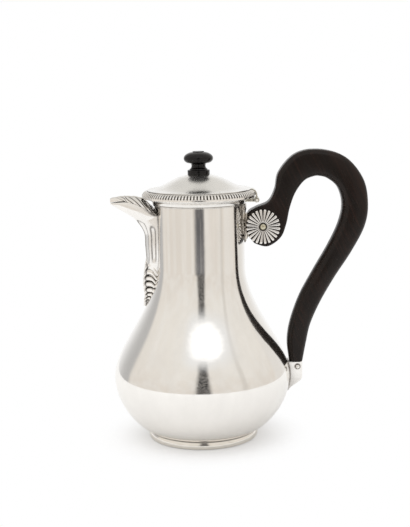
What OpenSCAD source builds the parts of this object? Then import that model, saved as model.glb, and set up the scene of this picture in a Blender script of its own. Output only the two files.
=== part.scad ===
// Silver chocolate pot with a hinged lid, an ebony knob and an ebony S-shaped handle.
// The origin is the centre of the foot on the table. The spout points along -X, the handle along +X.

/* [Vessel] */
// Widest diameter of the belly
belly_d = 123; // [112:1:134]
// Height of the widest part of the belly
belly_z = 43.6; // [40:0.2:48]
// Outside diameter of the neck
neck_d = 61.8; // [56:0.2:66]
// Height of the rim that the lid rests on
mouth_z = 173.4; // [160:0.2:190]
// Thickness of the silver sheet
wall = 1; // [0.8:0.1:1.3]
// Outside diameter of the foot ring
foot_d = 76.8; // [70:0.2:82]
// Height of the foot ring
foot_h = 5.8; // [4.6:0.2:7]

/* [Rim and lid] */
// Number of ribs round the rim band
rim_ribs = 110; // [60:2:120]
// Radius of the ribbed quarter round
rim_round = 3.8; // [3:0.1:4.2]
// Depth of the grooves between the ribs
groove_depth = 0.6; // [0.3:0.05:0.8]
// Height of the lid's crown above the rim
lid_rise = 11.2; // [8:0.2:14]
// Gap between the lid's bezel and the neck
bezel_gap = 0.55; // [0.4:0.05:0.9]
// Depth of the bezel below the rim
bezel_depth = 4; // [2.5:0.1:4.5]
// Diameter of the hinge pin
hinge_pin_d = 1.4; // [1:0.1:1.8]

/* [Knob] */
// Widest diameter of the ebony knob
knob_d = 20.2; // [17:0.2:23]
// Diameter of the threaded stud
stud_d = 2.9; // [2:0.1:4]

/* [Handle] */
// Half thickness of the handle at the scroll
scroll_half = 7; // [6:0.1:7.4]
// Half thickness of the handle at the top of the arch
arch_half = 7.8; // [6.5:0.1:9]
// Diameter of the fluted rosettes
rosette_d = 24; // [20:0.2:24.4]
// Number of ribs on a rosette
rosette_ribs = 24; // [16:1:28]
// Diameter of the rivet through the scroll
rivet_d = 3; // [2:0.1:4]
// Diameter of the cross pin in the lower socket
cross_pin_d = 2; // [1.4:0.1:2.4]

/* [Spout] */
// Thickness of the spout's wall
spout_wall = 1.2; // [0.9:0.1:1.5]
// Depth of the side flutes
flute_depth = 0.55; // [0.3:0.05:0.7]

/* [Hidden] */
$fn = 96;

silver = "gainsboro";
ebony = "#2b2220";

belly_r = belly_d / 2;
neck_r = neck_d / 2;
foot_r = foot_d / 2;
fit = 0.05;
eps = 0.01;

// The neck is straight down to the shoulder
shoulder_z = mouth_z - 52.4;
floor_z = foot_h - 2.2;
// The rim moulding stands on the edge of the neck
rim_cap = 1;
seat_r = neck_r + 4.7;
rim_low = mouth_z - 5;
collar_low = mouth_z - 9.8;
// The lid's hinge lies under the overhang of the rim band
hinge_x = neck_r + 8.5;
hinge_z = mouth_z - 6.9;
knuckle_r = 1.75;
knuckle_half = 2.4;
hinge_half = 7.5;
strap_half = 4.5;
// The scroll of the handle is held at this place
scroll_x = neck_r + 12.4;
scroll_z = mouth_z - 25.3;
tongue_half = 2;
tongue_r = 7.5;
// The handle's lower end stands here
socket_x = belly_r + 4.2;
socket_z = belly_z + 9;
tenon_x = 3.2;
tenon_y = 4.8;
tenon_h = 10.6;
socket_half = 6;

// Curves

function bezier(p, n) = [
    for (i = [0:n])
        let (t = i / n, u = 1 - t)
        u * u * u * p[0] + 3 * u * u * t * p[1] + 3 * u * t * t * p[2] + t * t * t * p[3]
];

function arc(c, r, a0, a1, n) = [
    for (i = [0:n])
        let (a = a0 + (a1 - a0) * i / n)
        c + r * [cos(a), sin(a)]
];

// One value of the smooth curve through the rows of a list, at place s
function smooth(rows, s) =
    let (
        last = len(rows) - 1,
        i = min(floor(s), last - 1),
        t = s - i,
        a = rows[max(i - 1, 0)],
        b = rows[i],
        c = rows[i + 1],
        d = rows[min(i + 2, last)]
    )
    b + t / 2 * ((c - a) + t * ((2 * a - 5 * b + 4 * c - d) + t * (3 * (b - c) + d - a)));

// The points of a curve moved sideways
function inset(pts, d) = [
    for (i = [0:len(pts) - 1])
        let (
            a = pts[max(i - 1, 0)],
            b = pts[min(i + 1, len(pts) - 1)],
            t = (b - a) / norm(b - a)
        )
        [max(pts[i][0] - d * t[1], 0), pts[i][1] + d * t[0]]
];

function reversed(pts) = [for (i = [len(pts) - 1:-1:0]) pts[i]];

// A solid skin over rings that have the same number of points
module skin(rings) {
    n = len(rings[0]);
    m = len(rings);
    side = [
        for (i = [0:m - 2])
            for (j = [0:n - 1])
                let (k = (j + 1) % n)
                each [
                    [i * n + j, (i + 1) * n + j, (i + 1) * n + k],
                    [i * n + j, (i + 1) * n + k, i * n + k]
                ]
    ];
    start = [[for (j = [0:n - 1]) j]];
    end = [[for (j = [n - 1:-1:0]) (m - 1) * n + j]];
    polyhedron(points = [for (r = rings) each r], faces = concat(side, start, end));
}

// Vessel

shoulder = bezier([
    [neck_r, shoulder_z],
    [neck_r, shoulder_z - 29],
    [belly_r, belly_z + 20.4],
    [belly_r, belly_z]
], 20);

underside = bezier([
    [belly_r, belly_z],
    [belly_r, belly_z - 14.6],
    [belly_r - 9.5, foot_h + 7.2],
    [foot_r, foot_h]
], 16);

bottom = bezier([
    [foot_r, foot_h],
    [foot_r - 6, foot_h - 1.9],
    [foot_r / 2, floor_z],
    [0, floor_z]
], 6);

vessel_outline = concat(
    [[neck_r, mouth_z - rim_cap]],
    shoulder,
    [for (i = [1:len(underside) - 1]) underside[i]],
    [for (i = [1:len(bottom) - 1]) bottom[i]]
);

module vessel_solid() {
    rotate_extrude() polygon(concat([[0, mouth_z - rim_cap]], vessel_outline));
}

// The part of the vessel that the spout and its leaf are fitted to
module upper_vessel_solid() {
    near = [for (p = shoulder) if (p[1] > mouth_z - 92) p];
    rotate_extrude() polygon(concat(
        [[0, mouth_z], [neck_r, mouth_z]],
        near,
        [[0, near[len(near) - 1][1]]]
    ));
}

module body() {
    opening_w = 14;
    opening_low = mouth_z - 42;
    opening_high = mouth_z - 25;
    color(silver)
    difference() {
        rotate_extrude()
            polygon(concat(vessel_outline, reversed(inset(vessel_outline, -wall))));
        // Arched opening behind the spout
        translate([-neck_r - 3, 0, 0]) {
            translate([0, 0, opening_low]) rotate([0, 90, 0]) cylinder(d = opening_w, h = 12);
            translate([0, 0, opening_high]) rotate([0, 90, 0]) cylinder(d = opening_w, h = 12);
            translate([0, -opening_w / 2, opening_low])
                cube([12, opening_w, opening_high - opening_low]);
        }
    }
}

module foot_ring() {
    thick = 1.7;
    inner_top = lookup(foot_r - thick, [for (p = reversed(bottom)) p]);
    color(silver)
    rotate_extrude()
        polygon(concat(
            [[foot_r - thick - 0.8, 0]],
            arc([foot_r - 0.9, 0.5], 0.5, -90, 0, 4),
            [
                [foot_r - 0.2, 1.2],
                [foot_r, foot_h],
                [foot_r - thick, inner_top],
                [foot_r - thick, 1.6]
            ]
        ));
}

module neck_collar() {
    bead_r = neck_r + 1.1;
    cove = 3.4;
    color(silver)
    rotate_extrude()
        polygon(concat(
            [[neck_r, collar_low]],
            arc([neck_r + 0.7, collar_low + 0.4], 0.4, -90, 90, 6),
            arc([bead_r + cove, collar_low + 0.8], cove, 180, 90, 8),
            [[bead_r + cove, rim_low], [neck_r, rim_low]]
        ));
}

// Rim

// A groove between two ribs, deepest half way round the quarter round
module rib_groove() {
    share = 0.42;
    round_c = [seat_r, mouth_z - rim_round];
    floor_c = round_c - 4 * [sin(45), cos(45)];
    rotate([0, 0, -share * 180 / rim_ribs])
        rotate_extrude(angle = share * 360 / rim_ribs)
        polygon(concat(
            arc(floor_c, rim_round - groove_depth + 4, 12, 78, 3),
            arc(round_c, rim_round + 1, 90, 0, 3)
        ));
}

module rim_band() {
    round_c = [seat_r, mouth_z - rim_round];
    color(silver)
    difference() {
        rotate_extrude()
            polygon(concat(
                [[neck_r, rim_low], [seat_r + 2, rim_low]],
                arc(round_c, rim_round, -10, 90, 5),
                [
                    [neck_r - wall, mouth_z],
                    [neck_r - wall, mouth_z - rim_cap],
                    [neck_r, mouth_z - rim_cap]
                ]
            ));
        // Grooves between the ribs
        for (i = [0:rim_ribs - 1])
            rotate([0, 0, (i + 0.5) * 360 / rim_ribs])
            rib_groove();
        // Notch for the hinge strap
        translate([0, strap_half + 0.15, 0]) rotate([90, 0, 0])
            linear_extrude(2 * strap_half + 0.3)
            difference() {
                translate([seat_r - 3.4, rim_low - 1]) square([10, 8]);
                polygon(concat(
                    [[0, rim_low - 2], [seat_r + 1.6, rim_low - 2]],
                    arc(round_c, rim_round - 1.1, -10, 90, 8),
                    [[0, mouth_z - 1.1]]
                ));
            }
    }
}

// Lid

crown_z = mouth_z + lid_rise;
brim_top = mouth_z + 0.8;

lid_outline = bezier([
    [0, crown_z],
    [0.535 * seat_r, crown_z],
    [0.655 * seat_r, brim_top],
    [seat_r, brim_top]
], 22);

module lid_solid() {
    rotate_extrude() polygon(concat(lid_outline, [[seat_r, mouth_z], [0, mouth_z]]));
}

module lid_inside() {
    under = [for (p = inset(lid_outline, -0.9)) if (p[0] < neck_r - 1.4 && p[0] >= 0) p];
    last = under[len(under) - 1];
    rotate_extrude() polygon(concat(
        [[0, mouth_z - 1], [0, under[0][1]]],
        under,
        [[neck_r - 1.2, last[1] - 0.3], [neck_r - 1.2, mouth_z - 1]]
    ));
}

module lid() {
    color(silver)
    difference() {
        lid_solid();
        lid_inside();
        cylinder(d = stud_d + 0.3, h = crown_z + 5);
    }
}

// The bezel is open at the hinge, where it would foul the neck on the way out
module lid_bezel() {
    outer = neck_r - wall - bezel_gap;
    color(silver)
    intersection() {
        rotate([0, 0, 65])
            rotate_extrude(angle = 230)
            polygon([
                [outer - 0.8, mouth_z - bezel_depth],
                [outer, mouth_z - bezel_depth],
                [outer, crown_z],
                [outer - 0.8, crown_z]
            ]);
        union() {
            lid_inside();
            translate([0, 0, mouth_z - 12]) cylinder(r = neck_r - 1.2, h = 12);
        }
    }
}

module along_hinge(from, to) {
    translate([hinge_x, from, hinge_z]) rotate([-90, 0, 0]) cylinder(r = knuckle_r, h = to - from);
}

module hinge_bore() {
    translate([hinge_x, -hinge_half - 1, hinge_z])
        rotate([-90, 0, 0])
        cylinder(d = hinge_pin_d + 2 * fit, h = 2 * hinge_half + 2, $fn = 48);
}

module lid_hinge_leaf() {
    round_c = [seat_r, mouth_z - rim_round];
    outer = rim_round + 0.25;
    inner = rim_round - 0.9;
    color(silver)
    difference() {
        union() {
            translate([0, strap_half, 0]) rotate([90, 0, 0])
                linear_extrude(2 * strap_half)
                difference() {
                    polygon(concat(
                        [[seat_r - 3, mouth_z - 0.9], [seat_r - 3, mouth_z]],
                        [[seat_r + 0.06, mouth_z], [seat_r + 0.06, mouth_z + 0.25]],
                        arc(round_c, outer, 88, 0, 9),
                        [[seat_r + outer, mouth_z - 5.6]],
                        [[seat_r + inner, mouth_z - 5.6]],
                        arc(round_c, inner, 0, 90, 8)
                    ));
                    translate([hinge_x, hinge_z]) circle(r = knuckle_r + 0.35, $fn = 48);
                }
            // The strap narrows to the middle knuckle
            translate([hinge_x - 0.7, -knuckle_half, hinge_z + 1])
                cube([1.4, 2 * knuckle_half, mouth_z - 4.6 - hinge_z - 1]);
            along_hinge(-knuckle_half, knuckle_half);
        }
        hinge_bore();
    }
}

module hinge_lug() {
    plate_out = hinge_x - knuckle_r - 0.3;
    color(silver)
    difference() {
        union() {
            translate([neck_r, -hinge_half, hinge_z - 1.2])
                cube([plate_out - neck_r, 2 * hinge_half, 1.9]);
            for (side = [-1, 1]) {
                y = side > 0 ? knuckle_half + 0.15 : -hinge_half;
                length = hinge_half - knuckle_half - 0.15;
                along_hinge(y, y + length);
                translate([plate_out - 1, y, hinge_z - 1.2]) cube([knuckle_r + 1.3, length, 1.9]);
            }
        }
        hinge_bore();
        rotate_extrude() polygon(concat(
            [[0, collar_low - 1], [neck_r, collar_low - 1], [neck_r, collar_low]],
            arc([neck_r + 0.7, collar_low + 0.4], 0.4, -90, 90, 6),
            arc([neck_r + 4.5, collar_low + 0.8], 3.4, 180, 90, 8),
            [[neck_r + 4.5, rim_low], [0, rim_low]]
        ));
    }
}

module hinge_pin() {
    head = 0.3;
    color(silver)
    translate([hinge_x, 0, hinge_z])
        rotate([90, 0, 0])
        rotate_extrude($fn = 48)
        polygon(concat(
            [[0, -hinge_half - head - 0.3]],
            [[hinge_pin_d / 2 + 0.2, -hinge_half - head], [hinge_pin_d / 2 + 0.2, -hinge_half]],
            [[hinge_pin_d / 2, -hinge_half], [hinge_pin_d / 2, hinge_half]],
            [[hinge_pin_d / 2 + 0.2, hinge_half], [hinge_pin_d / 2 + 0.2, hinge_half + head]],
            [[0, hinge_half + head + 0.3]]
        ));
}

// Knob

knob_base = crown_z - 1;
stud_top = knob_base + 9;

module knob() {
    r = knob_d / 2;
    color(ebony)
    difference() {
        translate([0, 0, knob_base])
            rotate_extrude()
            polygon(concat(
                [[0, 0]],
                arc([0.72 * r - 0.5, 0.9], 0.9, -90, -30, 3),
                arc([0.72 * r - 0.3, 3.1], 0.7, 0, 80, 4),
                [[0.62 * r, 4.1]],
                bezier([[0.55 * r, 4.5], [0.47 * r, 5.4], [0.47 * r, 7.6], [0.56 * r, 8.2]], 6),
                bezier([[0.8 * r, 8.3], [0.93 * r, 8.7], [r, 10], [r, 11.5]], 6),
                bezier([[r, 11.5], [r, 13.6], [0.78 * r, 15.3], [0.42 * r, 15.9]], 9),
                [[0.4 * r, 16], [0.39 * r, 16.3], [0.34 * r, 16.4], [0, 16.4]]
            ));
        lid_solid();
        cylinder(d = stud_d + 2 * fit, h = stud_top + 0.4);
    }
}

washer_top = crown_z - 1.1;

module knob_stud() {
    low = washer_top - 5;
    color(silver)
    translate([0, 0, low]) cylinder(d = stud_d, h = stud_top - low);
}

module knob_washer() {
    color(silver)
    translate([0, 0, washer_top - 0.7])
        difference() {
            cylinder(r = 4.2, h = 0.7);
            translate([0, 0, -1]) cylinder(d = stud_d + 0.3, h = 3);
        }
}

module knob_nut() {
    color(silver)
    translate([0, 0, washer_top - 3.1])
        difference() {
            cylinder(r = 3.3, h = 2.4, $fn = 6);
            translate([0, 0, -1]) cylinder(d = stud_d + 2 * fit, h = 5);
        }
}

// Spout. Places are [outward from the neck, height above the rim]

function spout_at(p, y) = [-(neck_r + p[0]), y, mouth_z + p[1]];

// Rows of back or top edge, front line and half width, from the root to the beak
spout_rows = [
    [-4, -67, 1.6, -70.5, 3.2],
    [-4, -62, 4.8, -65, 6.4],
    [-4, -55, 6.1, -58, 9.6],
    [-4, -46, 6.4, -48, 12.2],
    [-4, -36, 7, -38, 13.1],
    [-4, -27, 7.4, -29.5, 13.3],
    [-3.6, -17.6, 10.4, -23.4, 13.3],
    [1.6, -14.2, 14, -19, 12.6],
    [7, -10.8, 18.1, -16.1, 11.2],
    [13, -8.3, 22.7, -13.4, 8.8],
    [18.6, -7.1, 26.4, -11, 6.4],
    [25, -7.4, 29.2, -9.6, 3.8],
    [30, -7.9, 30.4, -8.5, 1.2]
];

// How deep the flutes are, in parts of one, at angle a and height v
function flute(a, v) =
    let (
        side = abs(a),
        a0 = side < 35 ? 20 : 50,
        top = side < 35 ? -24 : -27.5,
        across = (side - a0) / 12.5,
        up = max(0, v - top) / 2.8,
        q = across * across + up * up
    )
    q < 1 ? sqrt(1 - q) : 0;

function spout_ring(s, thick, steps, flutes) =
    let (
        row = smooth(spout_rows, s),
        back = [row[0], row[1]],
        front = [row[2], row[3]],
        way = (front - back) / norm(front - back),
        length = norm(front - back) - thick,
        half = max(row[4] - thick, 0.3),
        open = thick > 0 ? 3 : 0
    )
    concat(
        [
            for (i = [0:steps])
                let (
                    a = -90 + 180 * i / steps,
                    v = back[1] + (front[1] - back[1]) * cos(a),
                    cut = flutes * flute_depth * flute(a, v),
                    p = back + way * (length - cut) * cos(a)
                )
                spout_at(p, -(half - cut) * sin(a))
        ],
        open > 0
            ? [spout_at(back - open * way, -half), spout_at(back - open * way, half)]
            : []
    );

module spout_outer(steps, flutes) {
    last = len(spout_rows) - 1;
    skin([for (s = [0:0.25:last]) spout_ring(s, 0, steps, flutes)]);
}

module spout() {
    last = len(spout_rows) - 1;
    color(silver)
    difference() {
        spout_outer(48, 1);
        skin([for (s = [1.5:0.5:last - 0.5]) spout_ring(s, spout_wall, 16, 0)]);
        upper_vessel_solid();
    }
}

// Rows of lower edge, crown line and half width of the cover, from the neck to the beak
cover_rows = [
    [-3.4, -17.2, -2.4, -15.4, 13.1],
    [1.6, -14, 2.8, -9.6, 12.7],
    [7, -10.6, 7.4, -5.6, 11.4],
    [13, -8.1, 13, -4, 9.1],
    [18.2, -6.9, 18.4, -3.7, 6.9],
    [20.4, -5.8, 20.6, -3.6, 5.9],
    [25, -6.2, 25.2, -3.7, 4.1],
    [28.6, -6.7, 28.8, -4.1, 2.4],
    [30.2, -7.1, 30.4, -4.9, 1.4]
];

// The leaf on the cover has a midrib and lobes to both sides
function leaf_relief(a, s) =
    0.1 * abs(cos(3 * a)) * (0.6 + 0.4 * abs(sin(180 * s)));

// The hollow side is a plain arch that runs on below the edges
function cover_ring(s, thick, steps) =
    let (
        row = smooth(cover_rows, s),
        base = [row[0], row[1]],
        rise = [row[2], row[3]] - base,
        hollow = thick > 0,
        k = hollow ? max(0.92 - thick / norm(rise), 0.1) : 1,
        half = max(row[4] - thick, 0.2),
        low = base - 2 * rise / norm(rise)
    )
    concat(
        [
            for (i = [0:steps])
                let (
                    a = -90 + 180 * i / steps,
                    relief = hollow ? 0 : leaf_relief(a, s) - 0.08
                )
                spout_at(base + rise * cos(a) * (k + relief), half * sin(a))
        ],
        hollow ? [spout_at(low, half), spout_at(low, -half)] : []
    );

module spout_cover() {
    last = len(cover_rows) - 1;
    color(silver)
    difference() {
        skin([for (s = [0:0.25:last]) cover_ring(s, 0, 24)]);
        skin([for (s = [-0.2:0.4:last - 0.4]) cover_ring(max(s, 0), 1, 16)]);
        upper_vessel_solid();
        spout_outer(24, 0);
    }
}

// Rows of front line, half width and curl of the acanthus drop, from its top to its tip
leaf_rows = [
    [6.6, -48.6, 2.6],
    [7.9, -51.5, 6.2],
    [8.7, -57.5, 7.6],
    [9.4, -63.2, 6.8],
    [8.6, -69.2, 5.2],
    [8.3, -73.4, 3.8],
    [9.2, -76.6, 2.4],
    [9.6, -80.4, 0.8]
];

// Each lobe flares to its lower end and steps back under the next one
function lobe(s, count) = let (t = s * count - floor(s * count)) t * t;

function leaf_ring(s, steps) =
    let (
        last = len(leaf_rows) - 1,
        row = smooth(leaf_rows, s),
        swell = s < last - 1.2 ? lobe(s / (last - 1.2), 4) : 0,
        depth = row[0] + 3,
        half = row[2] * (0.84 + 0.26 * swell)
    )
    [
        for (i = [0:steps])
            let (
                a = -90 + 180 * i / steps,
                vein = 0.7 * (1 - abs(cos(4 * a))) * min(1, row[2] / 5),
                p = [row[0] - depth + (depth + 0.5 * swell - vein) * cos(a), row[1]]
            )
            spout_at(p, -half * sin(a))
    ];

module spout_leaf() {
    last = len(leaf_rows) - 1;
    color(silver)
    difference() {
        skin([for (s = [0:0.2:last]) leaf_ring(s, 24)]);
        spout_outer(24, 0);
        upper_vessel_solid();
    }
}

// Handle. Rows of outer edge and inner edge, measured from the scroll's rivet

scroll_rows = [
    [-9.9, -6.6, -5.8, -11.7],
    [-10.3, 1.9, 3.2, -13.9],
    [-9.9, 9.4, 12.2, -7.9],
    [-4.4, 13.1, 16.1, 1.3],
    [4, 16.8, 18.5, 12],
    [8.5, 25.1, 22.5, 22.6],
    [11.3, 37, 28.7, 30.7],
    [22.7, 49.1, 34.9, 33.5],
    [38.8, 51.9, 39.2, 33.7],
    [56.8, 46.4, 44.7, 31.9],
    [69.1, 31.4, 51.7, 25.5],
    [72.5, 13.9, 54.7, 13.9],
    [70.1, -1.7, 51.9, 0.5],
    [60.8, -19.6, 44.7, -14.5],
    [49.8, -36.4, 35.3, -30.5],
    [39.6, -54, 25.3, -48.7]
];
// Rows near the lower end, measured from the middle of the socket's top
foot_rows = [
    [10.3, 26, -3.9, 28.2],
    [7.3, 13.4, -6.1, 13.9],
    [4.6, 0, -4.6, 0]
];
handle_rows = concat(
    [for (p = scroll_rows) p + [scroll_x, scroll_z, scroll_x, scroll_z]],
    [for (p = foot_rows) p + [socket_x, socket_z, socket_x, socket_z]]
);

// Half thickness and corner radius along the handle
function handle_half(t) = lookup(t, [
    [0, scroll_half], [0.2, scroll_half], [0.36, arch_half], [0.6, arch_half],
    [0.9, scroll_half - 0.2], [1, scroll_half - 0.5]
]);
function handle_corner(t) = lookup(t, [
    [0, 1.5], [0.2, 1.6], [0.32, 3.2], [0.5, 3.8], [0.8, 5.4], [0.95, 4.6], [1, 3.4]
]);

function handle_ring(s, steps) =
    let (
        t = s / (len(handle_rows) - 1),
        row = smooth(handle_rows, s),
        outer = [row[0], row[1]],
        inner = [row[2], row[3]],
        mid = (outer + inner) / 2,
        half = norm(outer - inner) / 2,
        way = (outer - inner) / (2 * half),
        thick = handle_half(t),
        c = min(handle_corner(t), half - 0.4)
    )
    [
        for (q = [0:3])
            for (i = [0:steps])
                let (
                    a = 90 * q + 90 * i / steps,
                    sx = q == 0 || q == 3 ? 1 : -1,
                    sy = q < 2 ? 1 : -1,
                    x = sx * (half - c) + c * cos(a),
                    y = sy * (thick - c) + c * sin(a),
                    p = mid + way * x
                )
                [p[0], -y, p[1]]
    ];

module tongue(grow) {
    translate([scroll_x, tongue_half + grow, scroll_z]) rotate([90, 0, 0])
        cylinder(r = tongue_r + grow, h = 2 * (tongue_half + grow));
    translate([neck_r + 1.2, -tongue_half - grow, scroll_z - tongue_r - grow])
        cube([scroll_x - neck_r - 1.2, 2 * (tongue_half + grow), 2 * (tongue_r + grow)]);
}

module rivet_bore(d) {
    translate([scroll_x, 20, scroll_z]) rotate([90, 0, 0]) cylinder(d = d, h = 40, $fn = 48);
}

pin_x = socket_x + 0.9;
pin_z = socket_z - 3.6;

module cross_bore(d) {
    translate([pin_x, 20, pin_z]) rotate([90, 0, 0]) cylinder(d = d, h = 40, $fn = 48);
}

module handle() {
    last = len(handle_rows) - 1;
    color(ebony)
    difference() {
        union() {
            skin([for (s = [0:1 / 3:last + eps]) handle_ring(min(s, last), 4)]);
            // Tenon that stands in the socket
            translate([socket_x - tenon_x, -tenon_y, socket_z - tenon_h])
                cube([2 * tenon_x, 2 * tenon_y, tenon_h + 2]);
        }
        tongue(0.1);
        rivet_bore(rivet_d + 2 * fit);
        cross_bore(cross_pin_d + 2 * fit);
    }
}

// Cast mount on the neck: strap, pad, lobes and the tongue in the scroll
module handle_mount() {
    strap_r = neck_r + 0.8;
    low = mouth_z - 37;
    high = collar_low - 0.1;
    half = bezier([[high, 12.6], [high - 8, 9.5], [high - 12, 14.6], [high - 18, 11]], 8);
    point = bezier([[high - 18, 11], [high - 22, 8.6], [low + 4, 5.4], [low, 0]], 6);
    edge = concat(half, [for (i = [1:len(point) - 1]) point[i]]);
    color(silver)
    difference() {
        union() {
            intersection() {
                cylinder(r = strap_r, h = mouth_z);
                translate([neck_r - 8, 0, 0])
                    rotate([90, 0, 90])
                    linear_extrude(12)
                    polygon(concat(
                        [for (p = edge) [p[1], p[0]]],
                        [for (p = reversed(edge)) if (p[1] > 0) [-p[1], p[0]]]
                    ));
            }
            translate([neck_r - 2, -5.6, scroll_z - 8.5]) cube([4, 11.2, 17.6]);
            tongue(0);
            // Lobes down both edges, each at a distance round the neck
            for (side = [-1, 1])
                for (k = [0:3])
                    rotate([0, 0, side * (11.5 - 0.9 * k) / neck_r * 180 / PI])
                    translate([neck_r + 0.2, 0, scroll_z + 4 - 3.7 * k])
                    sphere(r = 1.7 - 0.12 * k, $fn = 32);
            // Rounded head under the collar
            for (side = [-1, 1])
                rotate([0, 0, side * 10.8 / neck_r * 180 / PI])
                translate([neck_r + 0.1, 0, high - 2.1])
                sphere(r = 1.9, $fn = 32);
        }
        cylinder(r = neck_r, h = mouth_z);
        rivet_bore(rivet_d + 2 * fit);
    }
}

// Fluted disc, with its back at zero and its face towards +Z. The grooves widen to the edge.
module rosette() {
    r = rosette_d / 2;
    hub_r = 3.4;
    face = 1.9;
    pitch = 2 * PI * r / rosette_ribs;
    difference() {
        rotate_extrude()
            polygon(concat(
                [[0, 0], [r, 0], [r, 0.7]],
                bezier([[r, 0.7], [r, 1.5], [r - 1, face], [r - 2.4, face]], 5),
                [[hub_r, face - 0.2], [hub_r - 0.1, face], [0, face]]
            ));
        for (i = [0:rosette_ribs - 1])
            rotate([0, 0, i * 360 / rosette_ribs])
            translate([hub_r + 0.2, 0, face + 0.15])
            rotate([0, 90, 0])
            cylinder(r1 = 0.3, r2 = 0.36 * pitch, h = r - hub_r + 0.6, $fn = 24);
        translate([0, 0, -1]) cylinder(d = rivet_d + 2 * fit, h = 10, $fn = 48);
        translate([0, 0, 1]) cylinder(r = 2.55, h = 5, $fn = 48);
    }
}

module rosette_front() {
    color(silver)
    translate([scroll_x, -scroll_half, scroll_z]) rotate([90, 0, 0]) rosette();
}

module rosette_back() {
    color(silver) mirror([0, 1, 0]) rosette_front();
}

module rosette_pin() {
    face = scroll_half + 1;
    head_r = 2.4;
    color("darkkhaki") {
        rivet_bore_fill(face);
        for (side = [-1, 1])
            translate([scroll_x, side * face, scroll_z])
                rotate([-90 * side, 0, 0])
                intersection() {
                    translate([0, 0, -0.8]) sphere(r = head_r, $fn = 48);
                    cylinder(r = head_r, h = 3);
                }
    }
}

module rivet_bore_fill(face) {
    translate([scroll_x, face + 0.4, scroll_z])
        rotate([90, 0, 0])
        cylinder(d = rivet_d, h = 2 * face + 0.8, $fn = 48);
}

// Socket on the belly, with a shield-shaped outline that runs to a point
module lower_socket() {
    top = socket_z - 0.2;
    right = socket_x + 4.3;
    side_curve = bezier([
        [right, socket_z - 11],
        [right, socket_z - 15],
        [belly_r + 1.2, socket_z - 18],
        [belly_r - 1.2, socket_z - 22.6]
    ], 8);
    shield = bezier([
        [socket_half, socket_z - 8],
        [socket_half, socket_z - 15],
        [1.6, socket_z - 18],
        [0, socket_z - 23]
    ], 8);
    color(silver)
    difference() {
        intersection() {
            translate([0, 20, 0]) rotate([90, 0, 0])
                linear_extrude(40)
                polygon(concat(
                    [[belly_r - 12, socket_z - 22.6], [belly_r - 12, top], [right, top]],
                    side_curve
                ));
            translate([belly_r - 15, 0, 0]) rotate([90, 0, 90])
                linear_extrude(40)
                polygon(concat(
                    [[-socket_half, top], [socket_half, top]],
                    shield,
                    [for (p = reversed(shield)) if (p[0] > 0) [-p[0], p[1]]]
                ));
        }
        vessel_solid();
        translate([socket_x - tenon_x - 0.1, -tenon_y - 0.1, socket_z - tenon_h - 0.2])
            cube([2 * tenon_x + 0.2, 2 * tenon_y + 0.2, tenon_h + 2]);
        cross_bore(cross_pin_d + 2 * fit);
    }
}

module lower_pin() {
    ball_r = 1.6;
    color(silver) {
        translate([pin_x, socket_half + 0.6, pin_z]) rotate([90, 0, 0])
            cylinder(d = cross_pin_d, h = 2 * socket_half + 1.2, $fn = 48);
        for (side = [-1, 1])
            translate([pin_x, side * socket_half, pin_z])
                rotate([-90 * side, 0, 0])
                intersection() {
                    translate([0, 0, 1]) sphere(r = ball_r, $fn = 48);
                    cylinder(r = ball_r, h = 4);
                }
    }
}

body();
foot_ring();
neck_collar();
rim_band();
spout();
spout_cover();
spout_leaf();
lid();
lid_bezel();
lid_hinge_leaf();
hinge_lug();
hinge_pin();
knob();
knob_stud();
knob_washer();
knob_nut();
handle();
handle_mount();
rosette_front();
rosette_back();
rosette_pin();
lower_socket();
lower_pin();
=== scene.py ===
# Silver chocolate pot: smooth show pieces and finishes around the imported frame.
# Shapes are worked out in millimetres and turned into metres where a mesh is made.
import bpy
import bmesh
import math
import numpy as np
from mathutils import Matrix, Vector


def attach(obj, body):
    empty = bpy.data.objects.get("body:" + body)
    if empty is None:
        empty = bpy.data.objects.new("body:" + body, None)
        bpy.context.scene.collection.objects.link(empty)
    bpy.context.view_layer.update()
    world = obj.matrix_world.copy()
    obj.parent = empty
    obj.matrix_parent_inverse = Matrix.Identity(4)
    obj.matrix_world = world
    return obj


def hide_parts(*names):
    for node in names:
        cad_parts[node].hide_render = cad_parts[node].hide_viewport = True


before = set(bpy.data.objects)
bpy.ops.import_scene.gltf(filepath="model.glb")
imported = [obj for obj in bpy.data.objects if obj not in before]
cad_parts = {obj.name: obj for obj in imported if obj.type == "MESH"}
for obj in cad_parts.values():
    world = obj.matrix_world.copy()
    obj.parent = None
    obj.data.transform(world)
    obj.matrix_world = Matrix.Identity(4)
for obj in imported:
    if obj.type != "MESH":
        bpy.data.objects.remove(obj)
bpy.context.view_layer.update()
mm = 0.001
print("frame loaded:", len(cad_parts), "nodes")


# Plane curves are rows of two values: radius and height, or reach and height.

def bezierCurve(points, count):
    t = np.linspace(0, 1, count + 1)[:, None]
    u = 1 - t
    p = np.array(points, float)
    return u ** 3 * p[0] + 3 * u * u * t * p[1] + 3 * u * t * t * p[2] + t ** 3 * p[3]


def arcCurve(centre, radius, fromDeg, toDeg, count):
    a = np.radians(np.linspace(fromDeg, toDeg, count + 1))
    return np.column_stack([centre[0] + radius * np.cos(a), centre[1] + radius * np.sin(a)])


def smoothRow(rows, s):  # one value of the smooth curve through the rows
    last = len(rows) - 1
    i = min(int(math.floor(s)), last - 1)
    t = s - i
    a, b, c, d = rows[max(i - 1, 0)], rows[i], rows[i + 1], rows[min(i + 2, last)]
    return b + t / 2 * ((c - a) + t * ((2 * a - 5 * b + 4 * c - d) + t * (3 * (b - c) + d - a)))


def insetCurve(points, distance):
    ahead = np.vstack([points[1:], points[-1:]])
    behind = np.vstack([points[:1], points[:-1]])
    t = ahead - behind
    t /= np.linalg.norm(t, axis=1)[:, None]
    moved = points + distance * np.column_stack([-t[:, 1], t[:, 0]])
    moved[:, 0] = np.maximum(moved[:, 0], 0)
    return moved


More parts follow.
